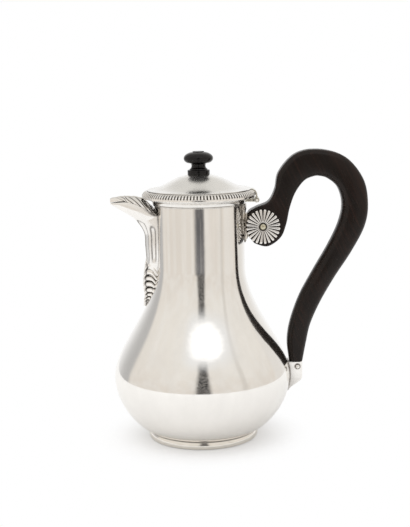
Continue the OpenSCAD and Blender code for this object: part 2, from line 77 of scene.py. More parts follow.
def joinCurves(*parts):
    return np.vstack([np.array(p, float).reshape(-1, 2) for p in parts])


def softStep(low, high, x):
    t = np.clip((np.asarray(x, float) - low) / (high - low), 0, 1)
    return t * t * (3 - 2 * t)


def bell(x, width):  # 1 at zero, fading within the width on both sides
    return np.exp(-(x / width) ** 2)


# Meshes. A point attribute says how dark a place is made: oxide kept in hollows, and painted shade in gaps and under
# overhangs.

weldWithin = 2e-7  # metres
roundingAngle, roundingSteps = 40, 3


def linkedObject(name, data):
    obj = bpy.data.objects.new(name, data)
    bpy.context.scene.collection.objects.link(obj)
    return obj


def meshObject(name, edit):
    mesh = bpy.data.meshes.new(name)
    edit.to_mesh(mesh)
    edit.free()
    return linkedObject(name, mesh)


def faceOutward(mesh, weld=False):
    edit = bmesh.new()
    edit.from_mesh(mesh)
    if weld:
        bmesh.ops.remove_doubles(edit, verts=edit.verts, dist=weldWithin)
    bmesh.ops.recalc_face_normals(edit, faces=edit.faces)
    edit.to_mesh(mesh)
    edit.free()


def gridObject(name, points, closeRows=False, caps=True, groove=None, weld=False):
    # a skin over rows of points; each row is a closed ring
    rows, cols = points.shape[:2]
    mesh = bpy.data.meshes.new(name)
    i, j = np.meshgrid(np.arange(rows if closeRows else rows - 1), np.arange(cols), indexing="ij")
    i, j = i.ravel(), j.ravel()
    i2, j2 = (i + 1) % rows, (j + 1) % cols
    faces = np.column_stack([i * cols + j, i2 * cols + j, i2 * cols + j2, i * cols + j2]).tolist()
    if caps and not closeRows:
        faces.append(list(range(cols))[::-1])
        faces.append([(rows - 1) * cols + k for k in range(cols)])
    mesh.from_pydata((points.reshape(-1, 3) * mm).tolist(), [], faces)
    shade = mesh.attributes.new("groove", "FLOAT", "POINT")
    if groove is not None:
        shade.data.foreach_set("value", np.asarray(groove, np.float32).ravel())
    faceOutward(mesh, weld)
    return linkedObject(name, mesh)


def revolveObject(name, profile, segments, change=None, groove=None):
    # change may reshape the rings, the last function gives the oxide and painted shade on them
    angles = np.linspace(0, 2 * math.pi, segments, endpoint=False)
    ring = np.repeat(profile[None, :, :], segments, axis=0)
    if change is not None:
        ring = change(angles, ring)
    points = np.stack([ring[..., 0] * np.cos(angles)[:, None],
                       ring[..., 0] * np.sin(angles)[:, None], ring[..., 1]], axis=-1)
    shade = groove(angles, ring) if groove is not None else None
    onAxis = bool((profile[:, 0] < 1e-6).any())
    return gridObject(name, points, closeRows=True, groove=shade, weld=onAxis)


def layAcross(obj, x, z):  # an upright turned shape comes to lie across the pot at x, z
    obj.data.transform(Matrix.Translation((x * mm, 0, z * mm)) @ Matrix.Rotation(-math.pi / 2, 4, "X"))


def slabObject(name, outline, low, high, bevel, axis="Y"):
    edit = bmesh.new()
    place = (lambda p, d: (p[0], d, p[1])) if axis == "Y" else (lambda p, d: (p[0], p[1], d))
    base = [edit.verts.new(Vector(place(p, low)) * mm) for p in outline]
    top = [edit.verts.new(Vector(place(p, high)) * mm) for p in outline]
    n = len(outline)
    edit.faces.new(base[::-1])
    edit.faces.new(top)
    for k in range(n):
        edit.faces.new([base[k], base[(k + 1) % n], top[(k + 1) % n], top[k]])
    bmesh.ops.recalc_face_normals(edit, faces=edit.faces)
    obj = meshObject(name, edit)
    if bevel:
        rounding = obj.modifiers.new("softEdges", "BEVEL")
        rounding.width = bevel * mm
        rounding.segments = roundingSteps
        rounding.limit_method = "ANGLE"
        rounding.angle_limit = math.radians(roundingAngle)
        applyModifiers(obj)
    return obj


def blockOutline(x1, z1, x2, z2):
    return [(x1, z1), (x2, z1), (x2, z2), (x1, z2)]


def applyModifiers(obj):
    graph = bpy.context.evaluated_depsgraph_get()
    graph.update()
    settled = bpy.data.meshes.new_from_object(obj.evaluated_get(graph))
    old = obj.data
    obj.modifiers.clear()
    obj.data = settled
    bpy.data.meshes.remove(old)


def cutAway(obj, cutter):
    cut = obj.modifiers.new("cut", "BOOLEAN")
    cut.operation = "DIFFERENCE"
    cut.solver = "EXACT"
    cut.object = cutter
    applyModifiers(obj)
    bpy.data.objects.remove(cutter)


def joinObjects(name, objects):
    edit = bmesh.new()
    for o in objects:
        edit.from_mesh(o.data)
        bpy.data.objects.remove(o)
    return meshObject(name, edit)


def coatObject(obj, material, sharp):
    obj.data.polygons.foreach_set("use_smooth", [True] * len(obj.data.polygons))
    obj.data.set_sharp_from_angle(angle=math.radians(sharp))
    obj.data.materials.clear()
    obj.data.materials.append(material)


def finishPiece(obj, body, nodes, material, sharp=38):
    coatObject(obj, material, sharp)
    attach(obj, body)
    if nodes:
        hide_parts(*nodes)


# Finishes: node helpers, then the shared effects, then the materials.

def addNode(tree, kind, **values):  # a value goes to the node's own setting or to the input of that name
    item = tree.nodes.new(kind)
    for key, value in values.items():
        if hasattr(item, key):
            setattr(item, key, value)
        else:
            item.inputs[key.replace("_", " ")].default_value = value
    return item


def wire(tree, *pairs):
    for source, socket in pairs:
        tree.links.new(source, socket)


def mathNode(tree, operation, first, second=None, third=None):
    item = addNode(tree, "ShaderNodeMath", operation=operation)
    for k, v in enumerate((first, second, third)):
        if v is None:
            continue
        if isinstance(v, (int, float)):
            item.inputs[k].default_value = v
        else:
            tree.links.new(v, item.inputs[k])
    return item.outputs[0]


def times(tree, first, second):
    return mathNode(tree, "MULTIPLY", first, second)


def distanceFrom(tree, value, centre):
    return mathNode(tree, "ABSOLUTE", mathNode(tree, "SUBTRACT", value, centre))


def mixColour(tree, factor, first, second):
    item = addNode(tree, "ShaderNodeMix", data_type="RGBA")
    for socket, v in ((item.inputs[0], factor), (item.inputs[6], first), (item.inputs[7], second)):
        if hasattr(v, "is_output"):
            tree.links.new(v, socket)
        elif isinstance(v, (int, float)):
            socket.default_value = v
        else:
            socket.default_value = (*v, 1)
    return item.outputs[2]


def mixShader(tree, factor, first, second):
    item = tree.nodes.new("ShaderNodeMixShader")
    wire(tree, (factor, item.inputs[0]), (first, item.inputs[1]), (second, item.inputs[2]))
    return item.outputs[0]


def rangeNode(tree, value, fromLow, fromHigh, toLow=0.0, toHigh=1.0):
    item = addNode(tree, "ShaderNodeMapRange", interpolation_type="SMOOTHSTEP")
    tree.links.new(value, item.inputs[0])
    for k, v in enumerate((fromLow, fromHigh, toLow, toHigh)):
        item.inputs[k + 1].default_value = v
    return item.outputs[0]


def noiseNode(tree, place, scale, detail=2.0, roughness=0.5, stretch=(1, 1, 1), turn=(0, 0, 0)):
    mapping = addNode(tree, "ShaderNodeMapping", Scale=stretch, Rotation=turn)
    item = addNode(tree, "ShaderNodeTexNoise", Scale=scale, Detail=detail, Roughness=roughness)
    wire(tree, (place, mapping.inputs["Vector"]), (mapping.outputs[0], item.inputs["Vector"]))
    return item.outputs[0]


def objectPlace(tree):
    return addNode(tree, "ShaderNodeTexCoord").outputs["Object"]


floatKind, colourKind = "NodeSocketFloat", "NodeSocketColor"


def newGroup(name, inputs, outputs):
    tree = bpy.data.node_groups.new(name, "ShaderNodeTree")
    for label, kind, value in inputs:
        socket = tree.interface.new_socket(name=label, in_out="INPUT", socket_type=kind)
        socket.default_value = value
    for label, kind in outputs:
        tree.interface.new_socket(name=label, in_out="OUTPUT", socket_type=kind)
    return tree, tree.nodes.new("NodeGroupInput").outputs, tree.nodes.new("NodeGroupOutput").inputs


polish = {
    "cloudScale": 38, "smudgeScale": 140, "waveScale": 26, "beatScale": 150, "beatShare": 0.85, "hairScale": 900,
    "hairWays": [((1, 1, 0.03), (0.3, 0.2, 0)), ((0.05, 1, 1), (0, 0.5, 0.4)), ((1, 0.05, 1), (0.6, 0, 0.9))],
}


def buildPolishGroup():  # hand polish: soft waves, finer beats, hairlines and cloudy patches
    tree, given, out = newGroup(
        "handPolish",
        [("Wave Height", floatKind, 2e-5), ("Hairline Height", floatKind, 4e-7),
         ("Low Roughness", floatKind, 0.05), ("High Roughness", floatKind, 0.12)],
        [("Roughness", floatKind), ("Height", floatKind), ("Cloud", floatKind)])
    place = objectPlace(tree)
    cloud = noiseNode(tree, place, polish["cloudScale"], 4, 0.6)
    smudge = noiseNode(tree, place, polish["smudgeScale"], 5, 0.65, stretch=(1, 1, 0.35))
    mixed = mathNode(tree, "MULTIPLY_ADD", smudge, 0.5, times(tree, cloud, 0.5))
    level = rangeNode(tree, mixed, 0.36, 0.64)
    span = mathNode(tree, "SUBTRACT", given["High Roughness"], given["Low Roughness"])
    rough = mathNode(tree, "MULTIPLY_ADD", level, span, given["Low Roughness"])
    wave = noiseNode(tree, place, polish["waveScale"], 1.5, 0.4)
    hair = [noiseNode(tree, place, polish["hairScale"], 2, 0.5, stretch=stretch, turn=turn)
            for stretch, turn in polish["hairWays"]]
    lines = mathNode(tree, "ADD", mathNode(tree, "ADD", hair[0], hair[1]), hair[2])
    beat = noiseNode(tree, place, polish["beatScale"], 2, 0.5, stretch=(1, 1, 1.3))
    relief = mathNode(tree, "MULTIPLY_ADD", beat, polish["beatShare"], wave)
    height = times(tree, relief, given["Wave Height"])
    height = mathNode(tree, "MULTIPLY_ADD", lines, given["Hairline Height"], height)
    wire(tree, (rough, out["Roughness"]), (height, out["Height"]), (level, out["Cloud"]))
    return tree


oxideShadeLook = {"patchScale": 300, "veil": 0.05, "dulling": 0.35}


def buildOxideShadeGroup():  # darkens the metal by the point marks: oxide left in the grooves, where a polishing cloth can't reach, and painted shade in gaps and under overhangs
    tree, given, out = newGroup(
        "grooveTarnish",
        [("Metal", colourKind, (0.9, 0.88, 0.85, 1)), ("Oxide", colourKind, (0.1, 0.08, 0.06, 1)),
         ("Amount", floatKind, 0.8), ("Cloud", floatKind, 0.5), ("Roughness", floatKind, 0.1)],
        [("Color", colourKind), ("Roughness", floatKind)])
    mark = addNode(tree, "ShaderNodeAttribute", attribute_name="groove").outputs["Fac"]
    patch = rangeNode(tree, noiseNode(tree, objectPlace(tree), oxideShadeLook["patchScale"], 3, 0.6), 0.3, 0.7, 0.75, 1.0)
    mask = times(tree, times(tree, mark, patch), given["Amount"])
    veil = times(tree, given["Cloud"], oxideShadeLook["veil"])
    metal = mixColour(tree, veil, given["Metal"], given["Oxide"])
    colour = mixColour(tree, mask, metal, given["Oxide"])
    rough = mathNode(tree, "MULTIPLY_ADD", mask, oxideShadeLook["dulling"], given["Roughness"])
    wire(tree, (colour, out["Color"]), (rough, out["Roughness"]))
    return tree


grain = {
    "bandScale": 70, "fineScale": 620, "poreScale": 1500, "rubScale": 60,
    "rubFrom": 0.30, "rubTo": 0.42, "poreDulling": 0.2,
}


def buildGrainGroup():  # close straight ebony grain with short pores and a few brown streaks
    tree, given, out = newGroup(
        "ebonyGrain",
        [("Dark", colourKind, (0.01, 0.008, 0.007, 1)), ("Streak", colourKind, (0.05, 0.02, 0.014, 1)),
         ("Streak Amount", floatKind, 0.6), ("Tilt", floatKind, 0.4), ("Pore Depth", floatKind, 2e-5),
         ("Gloss", floatKind, 0.05)],
        [("Color", colourKind), ("Roughness", floatKind), ("Height", floatKind)])
    place = objectPlace(tree)
    turned = addNode(tree, "ShaderNodeVectorRotate", rotation_type="Y_AXIS")
    wire(tree, (place, turned.inputs["Vector"]), (given["Tilt"], turned.inputs["Angle"]))
    along = turned.outputs[0]
    band = noiseNode(tree, along, grain["bandScale"], 4, 0.6, stretch=(1, 1, 0.09))
    fine = noiseNode(tree, along, grain["fineScale"], 3, 0.6, stretch=(1, 1, 0.05))
    pore = noiseNode(tree, along, grain["poreScale"], 2, 0.5, stretch=(1, 1, 0.07))
    streak = times(tree, rangeNode(tree, band, 0.52, 0.72), given["Streak Amount"])
    lines = rangeNode(tree, fine, 0.45, 0.75, 0.0, 0.35)
    colour = mixColour(tree, mathNode(tree, "MAXIMUM", streak, lines), given["Dark"], given["Streak"])
    pits = rangeNode(tree, pore, 0.60, 0.72)
    rub = rangeNode(tree, noiseNode(tree, place, grain["rubScale"], 3, 0.6), 0.3, 0.7, grain["rubFrom"], grain["rubTo"])
    rough = mathNode(tree, "MULTIPLY_ADD", pits, grain["poreDulling"], rub)
    rough = mathNode(tree, "SUBTRACT", rough, given["Gloss"])
    height = times(tree, times(tree, pits, -1.0), given["Pore Depth"])
    height = mathNode(tree, "MULTIPLY_ADD", fine, times(tree, given["Pore Depth"], 0.5), height)
    wire(tree, (colour, out["Color"]), (rough, out["Roughness"]), (height, out["Height"]))
    return tree


polishGroup, oxideShadeGroup, grainGroup = buildPolishGroup(), buildOxideShadeGroup(), buildGrainGroup()


def startMaterial(name):
    material = bpy.data.materials.new(name)
    material.use_nodes = True
    tree = material.node_tree
    tree.nodes.clear()
    shader = tree.nodes.new("ShaderNodeBsdfPrincipled")
    out = tree.nodes.new("ShaderNodeOutputMaterial")
    bump = addNode(tree, "ShaderNodeBump", Strength=1.0, Distance=1.0)
    wire(tree, (shader.outputs[0], out.inputs[0]), (bump.outputs[0], shader.inputs["Normal"]))
    return material, tree, shader, bump


def silverMaterial(name, metal, oxideShadeColour, amount, wave, hairline, low, high):
    material, tree, shader, bump = startMaterial(name)
    polished = addNode(tree, "ShaderNodeGroup", node_tree=polishGroup, Wave_Height=wave,
                       Hairline_Height=hairline, Low_Roughness=low, High_Roughness=high).outputs
    darkened = addNode(tree, "ShaderNodeGroup", node_tree=oxideShadeGroup,
                        Metal=(*metal, 1), Oxide=(*oxideShadeColour, 1), Amount=amount)
    wire(tree, (polished["Cloud"], darkened.inputs["Cloud"]),
         (polished["Roughness"], darkened.inputs["Roughness"]),
         (darkened.outputs["Color"], shader.inputs["Base Color"]),
         (darkened.outputs["Roughness"], shader.inputs["Roughness"]),
         (polished["Height"], bump.inputs["Height"]))
    shader.inputs["Metallic"].default_value = 1.0
    return material


def ebonyMaterial(name, dark, streak, streakAmount, tilt, gloss, specular):
    material, tree, shader, bump = startMaterial(name)
    wood = addNode(tree, "ShaderNodeGroup", node_tree=grainGroup, Dark=(*dark, 1), Streak=(*streak, 1),
                   Streak_Amount=streakAmount, Tilt=tilt, Gloss=gloss).outputs
    wire(tree, (wood["Color"], shader.inputs["Base Color"]), (wood["Roughness"], shader.inputs["Roughness"]),
         (wood["Height"], bump.inputs["Height"]))
    shader.inputs["IOR"].default_value = 1.45
    shader.inputs["Specular IOR Level"].default_value = specular
    return material


silverLooks = {  # metal, oxide and painted shade colour, its amount, wave height, hairline height, lowest and highest roughness
    "sheetSilver": ((0.93, 0.91, 0.88), (0.12, 0.095, 0.075), 0.9, 3.0e-5, 4e-7, 0.06, 0.13),
    "lidSilver": ((0.92, 0.905, 0.88), (0.12, 0.095, 0.075), 0.9, 4.0e-5, 6e-7, 0.21, 0.31),
    # the spout's near-black tone paints the shade inside its mouth as well as the oxide in its flutes
    "spoutSilver": ((0.93, 0.91, 0.88), (0.045, 0.030, 0.020), 0.95, 3.0e-5, 6e-7, 0.15, 0.24),
    "castSilver": ((0.94, 0.91, 0.87), (0.030, 0.022, 0.016), 1.0, 2.0e-5, 6e-7, 0.10, 0.19),
    "innerSilver": ((0.86, 0.83, 0.78), (0.10, 0.08, 0.06), 0.8, 2.5e-5, 8e-7, 0.14, 0.28),
    "rivetMetal": ((0.62, 0.58, 0.44), (0.08, 0.06, 0.035), 0.9, 6e-5, 8e-7, 0.16, 0.30),
    "mountSilver": ((0.66, 0.61, 0.54), (0.028, 0.020, 0.014), 1.0, 2.0e-5, 6e-7, 0.16, 0.28),
    "hingeSilver": ((0.70, 0.67, 0.58), (0.035, 0.028, 0.018), 1.0, 2.0e-5, 6e-7, 0.15, 0.26),
    "footSilver": ((0.90, 0.865, 0.81), (0.07, 0.052, 0.038), 0.9, 3.0e-5, 5e-7, 0.08, 0.17),
}
ebonyLooks = {  # dark wood, streak, streak amount, tilt of the grain, gloss, specular level
    "handleEbony": ((0.0085, 0.0053, 0.0038), (0.040, 0.016, 0.010), 0.3, 0.45, 0.06, 0.27),
    "knobEbony": ((0.0022, 0.0019, 0.0018), (0.014, 0.007, 0.006), 0.3, 1.35, 0.2, 0.36),
}
finishes = {name: silverMaterial(name, *look) for name, look in silverLooks.items()}
finishes.update({name: ebonyMaterial(name, *look) for name, look in ebonyLooks.items()})
print("finishes ready:", len(finishes))


# The vessel, with its foot and the collar under the rim.

vessel = {
    "bellyRadius": 61.5, "bellyHeight": 43.6, "neckRadius": 30.9, "mouthHeight": 173.4,
    "wall": 1.0, "footRadius": 38.4, "footHeight": 5.8, "segments": 288,
    "neckLength": 52.4, "floorHeight": 3.6,
    # how far the curves of shoulder and bowl run straight on before they bend
    "neckPull": 29, "bellyPull": 20.4, "bowlPull": 14.6, "bowlFootPull": (9.5, 7.2), "floorPull": (6, 1.9),
    # the pour opening behind the spout: half width, lower and upper arch below the mouth
    "openingHalf": 7.0, "openingLow": 42, "openingHigh": 25,
}
neckR, mouthZ, bellyR, bellyZ, footR, footZ = (
    vessel[k] for k in ("neckRadius", "mouthHeight", "bellyRadius", "bellyHeight", "footRadius", "footHeight"))
shoulderZ = mouthZ - vessel["neckLength"]

mouldings = {"rimHeight": 5, "collarHeight": 9.8, "seatStep": 4.7}
rimLow, collarLow = mouthZ - mouldings["rimHeight"], mouthZ - mouldings["collarHeight"]
seatR = neckR + mouldings["seatStep"]

shoulder = bezierCurve([[neckR, shoulderZ], [neckR, shoulderZ - vessel["neckPull"]],
                        [bellyR, bellyZ + vessel["bellyPull"]], [bellyR, bellyZ]], 110)
underside = bezierCurve([[bellyR, bellyZ], [bellyR, bellyZ - vessel["bowlPull"]],
                         [bellyR - vessel["bowlFootPull"][0], footZ + vessel["bowlFootPull"][1]], [footR, footZ]], 80)
bottom = bezierCurve([[footR, footZ], [footR - vessel["floorPull"][0], footZ - vessel["floorPull"][1]],
                      [footR / 2, vessel["floorHeight"]], [0, vessel["floorHeight"]]], 16)
neckLine = np.column_stack([np.full(26, neckR), np.linspace(mouthZ - 1, shoulderZ, 27)[:-1]])
outerLine = joinCurves(neckLine, shoulder, underside[1:])
vesselLine = joinCurves(outerLine, bottom[1:])


def vesselRadius(z):
    return np.interp(z, outerLine[::-1, 1], outerLine[::-1, 0])


def makeBody():
    inner = insetCurve(vesselLine, -vessel["wall"])
    body = revolveObject("potBody", joinCurves(vesselLine, inner[::-1]), vessel["segments"])
    half, low, high = vessel["openingHalf"], mouthZ - vessel["openingLow"], mouthZ - vessel["openingHigh"]
    arch = joinCurves(arcCurve([0, high], half, 0, 180, 24), arcCurve([0, low], half, 180, 360, 24))
    cutter = slabObject("openingCutter", arch, -neckR - 3, -neckR + 9, bevel=0)
    cutter.data.transform(Matrix.Rotation(-math.pi / 2, 4, "Z"))
    cutAway(body, cutter)
    finishPiece(body, "pot", ["body"], finishes["sheetSilver"])


footRing = {"thick": 1.7, "segments": 256, "shadeAndOxide": 0.95}


def makeFootRing():
    r, inner = footR, footR - footRing["thick"]
    line = joinCurves(
        [[inner, 0.4], [inner + 0.2, 0.05]],
        bezierCurve([[r - 1.2, 0], [r - 0.3, 0], [r + 0.1, 1.4], [r - 0.05, 2.7]], 16),
        bezierCurve([[r - 0.05, 2.7], [r - 0.2, 3.9], [r - 0.6, 4.7], [r - 1.1, footZ - 0.5]], 14)[1:],
        [[r - 1.2, footZ - 0.1], [inner, footZ - 0.35], [inner, 1.6]])

    def shadeAndOxide(angles, ring):  # painted shade under the bowl's overhang, with oxide, in the joint between the foot and the bowl
        return softStep(footZ - 1.25, footZ - 0.6, ring[..., 1]) * footRing["shadeAndOxide"]

    foot = revolveObject("footRing", line, footRing["segments"], groove=shadeAndOxide)
    finishPiece(foot, "pot", ["foot_ring"], finishes["footSilver"])


collar = {"bead": 0.45, "cove": 3.35, "segments": 288, "shadeAndOxide": 0.8}


def makeCollar():
    inner = neckR - 0.3
    line = joinCurves(
        [[inner, collarLow]], arcCurve([neckR + 0.65, collarLow + 0.45], collar["bead"], -90, 80, 12),
        arcCurve([neckR + 4.5, collarLow + 0.8], collar["cove"], 178, 92, 24),
        [[neckR + 4.5, rimLow], [inner, rimLow]])

    def shadeAndOxide(angles, ring):  # painted shadow: a dark line under the bead and in the corner above it, and a slight darkening all over
        r, z = ring[..., 0], ring[..., 1]
        lines = bell(z - collarLow - 0.95, 0.22) + bell(z - collarLow, 0.25)
        return np.clip(lines + softStep(seatR + 0.2, seatR + 0.7, r) * 0.4 + 0.12, 0, 1) * collar["shadeAndOxide"]

    moulding = revolveObject("neckCollar", line, collar["segments"], groove=shadeAndOxide)
    finishPiece(moulding, "pot", ["neck_collar"], finishes["sheetSilver"])


makeBody()
makeFootRing()
makeCollar()
print("vessel made")


# The ribbed rim, the lid and the hinge between them.

rim = {
    "ribs": 110, "round": 3.8, "grooveDepth": 0.72, "grooveShape": 1.6, "samplesPerRib": 14, "arcSteps": 26,
    "strapHalf": 4.65, "strapRecess": 1.15,
}
roundCentre = np.array([seatR, mouthZ - rim["round"]])


def makeRimBand():
    sweep = np.linspace(-10, 90, rim["arcSteps"] + 1)
    start = joinCurves([[neckR - 0.3, rimLow], [seatR + 2, rimLow + 0.02]])
    line = joinCurves(start, arcCurve(roundCentre, rim["round"], -10, 90, rim["arcSteps"]),
                      [[seatR - 1, mouthZ], [neckR - 0.9, mouthZ], [neckR - 1, mouthZ - 0.1],
                       [neckR - 1, mouthZ - 1], [neckR - 0.3, mouthZ - 1]])
    first = len(start)
    rounded = slice(first, first + rim["arcSteps"] + 1)
    window = softStep(6, 17, sweep) * (1 - softStep(70, 82, sweep))
    a = np.radians(sweep)
    away = np.column_stack([np.cos(a), np.sin(a)])

    def ribShape(angles):  # 0 on a rib, 1 in the middle of a groove
        phase = angles * rim["ribs"] / (2 * math.pi)
        return np.abs(2 * (phase - np.floor(phase)) - 1) ** rim["grooveShape"]

    def shape(angles, ring):  # ribs all round, and a plain recess under the hinge strap
        depth = ribShape(angles)[:, None] * window[None, :] * rim["grooveDepth"]
        turned = (angles + math.pi) % (2 * math.pi) - math.pi
        depth[np.abs(turned) < math.asin(rim["strapHalf"] / (seatR + 3))] = rim["strapRecess"]
        ring[:, rounded] -= depth[..., None] * away[None]
        return ring

    def shadeAndOxide(angles, ring):
        mark = np.zeros(ring.shape[:2])
        mark[:, rounded] = softStep(0.2, 0.58, ribShape(angles))[:, None] * window[None, :]
        # painted shadow in the gap under the lid's brim, along the top of the rounding
        mark[:, rounded.stop - 2:rounded.stop + 1] = 0.9
        return mark

    band = revolveObject("ribbedRim", line, rim["ribs"] * rim["samplesPerRib"], change=shape, groove=shadeAndOxide)
    finishPiece(band, "pot", ["rim_band"], finishes["castSilver"], sharp=65)


lid = {"rise": 11.2, "brimLip": 0.8, "skin": 0.9, "edge": 0.35, "crownPull": 0.535, "flarePull": 0.655, "segments": 288}
crownZ, brimTop = mouthZ + lid["rise"], mouthZ + lid["brimLip"]


def makeLid():
    edge, inner = lid["edge"], neckR - 1.2
    dome = bezierCurve([[0, crownZ], [lid["crownPull"] * seatR, crownZ],
                        [lid["flarePull"] * seatR, brimTop], [seatR - edge, brimTop]], 90)
    under = insetCurve(dome, -lid["skin"])
    under = under[under[:, 0] < neckR - 1.4]
    line = joinCurves(dome, arcCurve([seatR - edge, brimTop - edge], edge, 80, 0, 5),
                      [[seatR - 0.05, mouthZ + 0.12], [seatR - 0.15, mouthZ], [inner, mouthZ],
                       [inner, under[-1][1] - 0.3]], under[::-1])

    def shadeAndOxide(angles, ring):  # painted shadow along the lower edge of the brim, in the gap over the rim
        low = 1 - softStep(mouthZ + 0.2, mouthZ + 0.5, ring[..., 1])
        return softStep(seatR - 0.25, seatR - 0.05, ring[..., 0]) * low * 0.9

    cover = revolveObject("lidDome", line, lid["segments"], groove=shadeAndOxide)
    finishPiece(cover, "lid", ["lid"], finishes["lidSilver"])


hinge = {
    "x": neckR + 8.5, "z": mouthZ - 6.9, "knuckle": 1.75, "half": 7.5, "middle": 2.4, "strap": 4.5,
    "gap": 0.15, "edge": 0.2, "strapOver": 0.5, "strapUnder": 0.9, "neckHalf": 0.7,
    "plateLow": 1.2, "plateHigh": 0.7,
}


def knuckleObject(name, low, high):
    r, edge = hinge["knuckle"], hinge["edge"]
    line = joinCurves([[0, low]], arcCurve([r - edge, low + edge], edge, -90, 0, 4),
                      arcCurve([r - edge, high - edge], edge, 0, 90, 4), [[0, high]])
    barrel = revolveObject(name, line, 48)
    layAcross(barrel, hinge["x"], hinge["z"])
    return barrel


def makeHingeStrap():
    outer, inner = rim["round"] + hinge["strapOver"], rim["round"] - hinge["strapUnder"]
    line = joinCurves([[seatR - 3, mouthZ - 0.9], [seatR - 3, mouthZ], [seatR + 0.06, mouthZ + 0.5]],
                      arcCurve(roundCentre, outer, 86, 0, 16),
                      [[seatR + outer - 0.3, mouthZ - 5.6], [seatR + inner, mouthZ - 5.6]],
                      arcCurve(roundCentre, inner, 0, 90, 14))
    x, z, half = hinge["x"], hinge["z"], hinge["neckHalf"]
    strap = slabObject("strapPlate", line, -hinge["strap"], hinge["strap"], bevel=0.18)
    neck = slabObject("strapNeck", blockOutline(x - half, z + 1, x + half, mouthZ - 4.6),
                      -hinge["middle"], hinge["middle"], bevel=0.1)
    barrel = knuckleObject("middleKnuckle", -hinge["middle"], hinge["middle"])
    leaf = joinObjects("hingeStrap", [strap, neck, barrel])
    finishPiece(leaf, "lid", ["lid_hinge_leaf"], finishes["hingeSilver"])


def makeHingeLug():
    plateOut = hinge["x"] - hinge["knuckle"] - 0.3
    low, high = hinge["z"] - hinge["plateLow"], hinge["z"] + hinge["plateHigh"]
    plate = blockOutline(neckR + 0.6, low, plateOut, high)
    parts = [slabObject("lugPlate", plate, -hinge["half"], hinge["half"], bevel=0.25)]
    for side in (-1, 1):
        ends = sorted((side * (hinge["middle"] + hinge["gap"]), side * hinge["half"]))
        parts.append(knuckleObject("outerKnuckle", *ends))
        parts.append(slabObject("lugArm", blockOutline(plateOut - 1, low, hinge["x"], high), *ends, bevel=0.12))
    lug = joinObjects("hingeLug", parts)
    finishPiece(lug, "pot", ["hinge_lug"], finishes["hingeSilver"])


makeRimBand()
makeLid()
makeHingeStrap()
makeHingeLug()
print("rim, lid and hinge made")


knob = {
    "radius": 10.1, "base": crownZ - 1, "segments": 144,
    # the turned profile: widths as shares of the radius, heights from the base
    "waist": [[0.6, 4.35], [0.45, 5.2], [0.44, 7.4], [0.555, 8.15]],
    "under": [[0.58, 8.2], [0.82, 8.3], [0.995, 9.5], [1, 11.5]],
    "crown": [[1, 11.5], [1, 13.6], [0.78, 15.3], [0.42, 15.85]],
}


def makeKnob():
    r = knob["radius"]
    waist, under, crown = (np.array(knob[k]) * [r, 1] for k in ("waist", "under", "crown"))
    line = joinCurves(
        [[0, 0]], arcCurve([0.72 * r - 0.5, 0.9], 0.9, -90, -20, 6), arcCurve([0.72 * r - 0.35, 3.0], 0.7, 0, 90, 8),
        [[0.635 * r, 3.75], [0.62 * r, 3.95]],
        bezierCurve(waist, 22), bezierCurve(under, 22), bezierCurve(crown, 26)[1:],
        [[0.4 * r, 15.8], [0.385 * r, 15.85]], arcCurve([0.37 * r, 16.15], 0.22, 10, 90, 5), [[0, 16.38]])
    line[:, 1] += knob["base"]
    top = revolveObject("knobTurned", line, knob["segments"])
    finishPiece(top, "lid", ["knob"], finishes["knobEbony"], sharp=30)


makeKnob()
print("knob made")


# The covered spout and the leaf drop below it. Reach is from the neck, height from the rim.

spout = {
    "wall": 1.2, "fluteDepth": 0.62, "rowStep": 0.07, "ringSteps": 128, "shadeAndOxide": 0.85,
    # back or top edge, front line and half width, from the root to the beak
    "rows": [[-4, -67, 1.6, -70.5, 3.2], [-4, -62, 4.8, -65, 6.4], [-4, -55, 6.1, -58, 9.6],
             [-4, -46, 6.4, -48, 12.2], [-4, -36, 7, -38, 13.1], [-4, -27, 7.4, -29.5, 13.3],
             [-3.6, -17.6, 10.4, -23.4, 13.3], [1.6, -14.2, 14, -19, 12.6], [7, -10.8, 18.1, -16.1, 11.2],
             [13, -8.3, 22.7, -13.4, 8.8], [18.6, -7.1, 26.4, -11, 6.4], [25, -7.4, 29.2, -9.6, 3.8],
             [30, -7.9, 30.4, -8.5, 1.2]],
    # flutes near the front line and on the flank: middle and half width in degrees, rounded top
    "fluteSplit": 49, "flutes": [(28.0, 14.0, -22.6), (66.0, 8.5, -26.4)], "fluteEdge": 2.8,
}
spoutRows = np.array(spout["rows"], float)


def spoutPoints(place, width):
    return np.column_stack([-(neckR + place[:, 0]), width, mouthZ + place[:, 1]])


def fluteDepth(side, v):  # side: degrees from the front, v: height from the rim; gives depth and oxide
    front = side < spout["fluteSplit"]
    centre, half, top = (np.where(front, a, b) for a, b in zip(*spout["flutes"]))
    up = np.maximum(0, v - top) / spout["fluteEdge"]
    q = ((side - centre) / half) ** 2 + up ** 2
    edge = np.exp(-((np.sqrt(q) - 1.0) * half / spout["fluteEdge"]) ** 2)
    fade = softStep(-50, -45, v)
    joint = softStep(82, 88, side) * softStep(-9, -16, v)
    return np.sqrt(np.maximum(0, 1 - q)) * fade, np.maximum(edge * fade, joint)


def spoutRing(s, thick, angles, flutes):
    row = smoothRow(spoutRows, s)
    back, front = row[0:2].copy(), row[2:4]
    half = max(row[4] - thick, 0.3)
    if back[0] < -1.5:  # the edges end inside the neck's wall
        wallR = float(vesselRadius(mouthZ + back[1])) - 0.55
        back[0] = math.sqrt(max(wallR ** 2 - half ** 2, 1)) - neckR
    way = (front - row[0:2]) / np.linalg.norm(front - row[0:2])
    away = float(np.dot(front - back, way)) - thick
    a = np.radians(angles)
    v = back[1] + (front[1] - back[1]) * np.cos(a)
    cut, mark = fluteDepth(np.abs(angles), v)
    # the inner walls toward the beak are painted dark as the shade within the mouth
    cut, mark = (cut * spout["fluteDepth"], mark) if flutes else (cut * 0, softStep(4.5, 5.5, s) + v * 0)
    place = back[None, :] + way[None, :] * ((away - cut) * np.cos(a))[:, None]
    return spoutPoints(place, -(half - cut) * np.sin(a)), mark


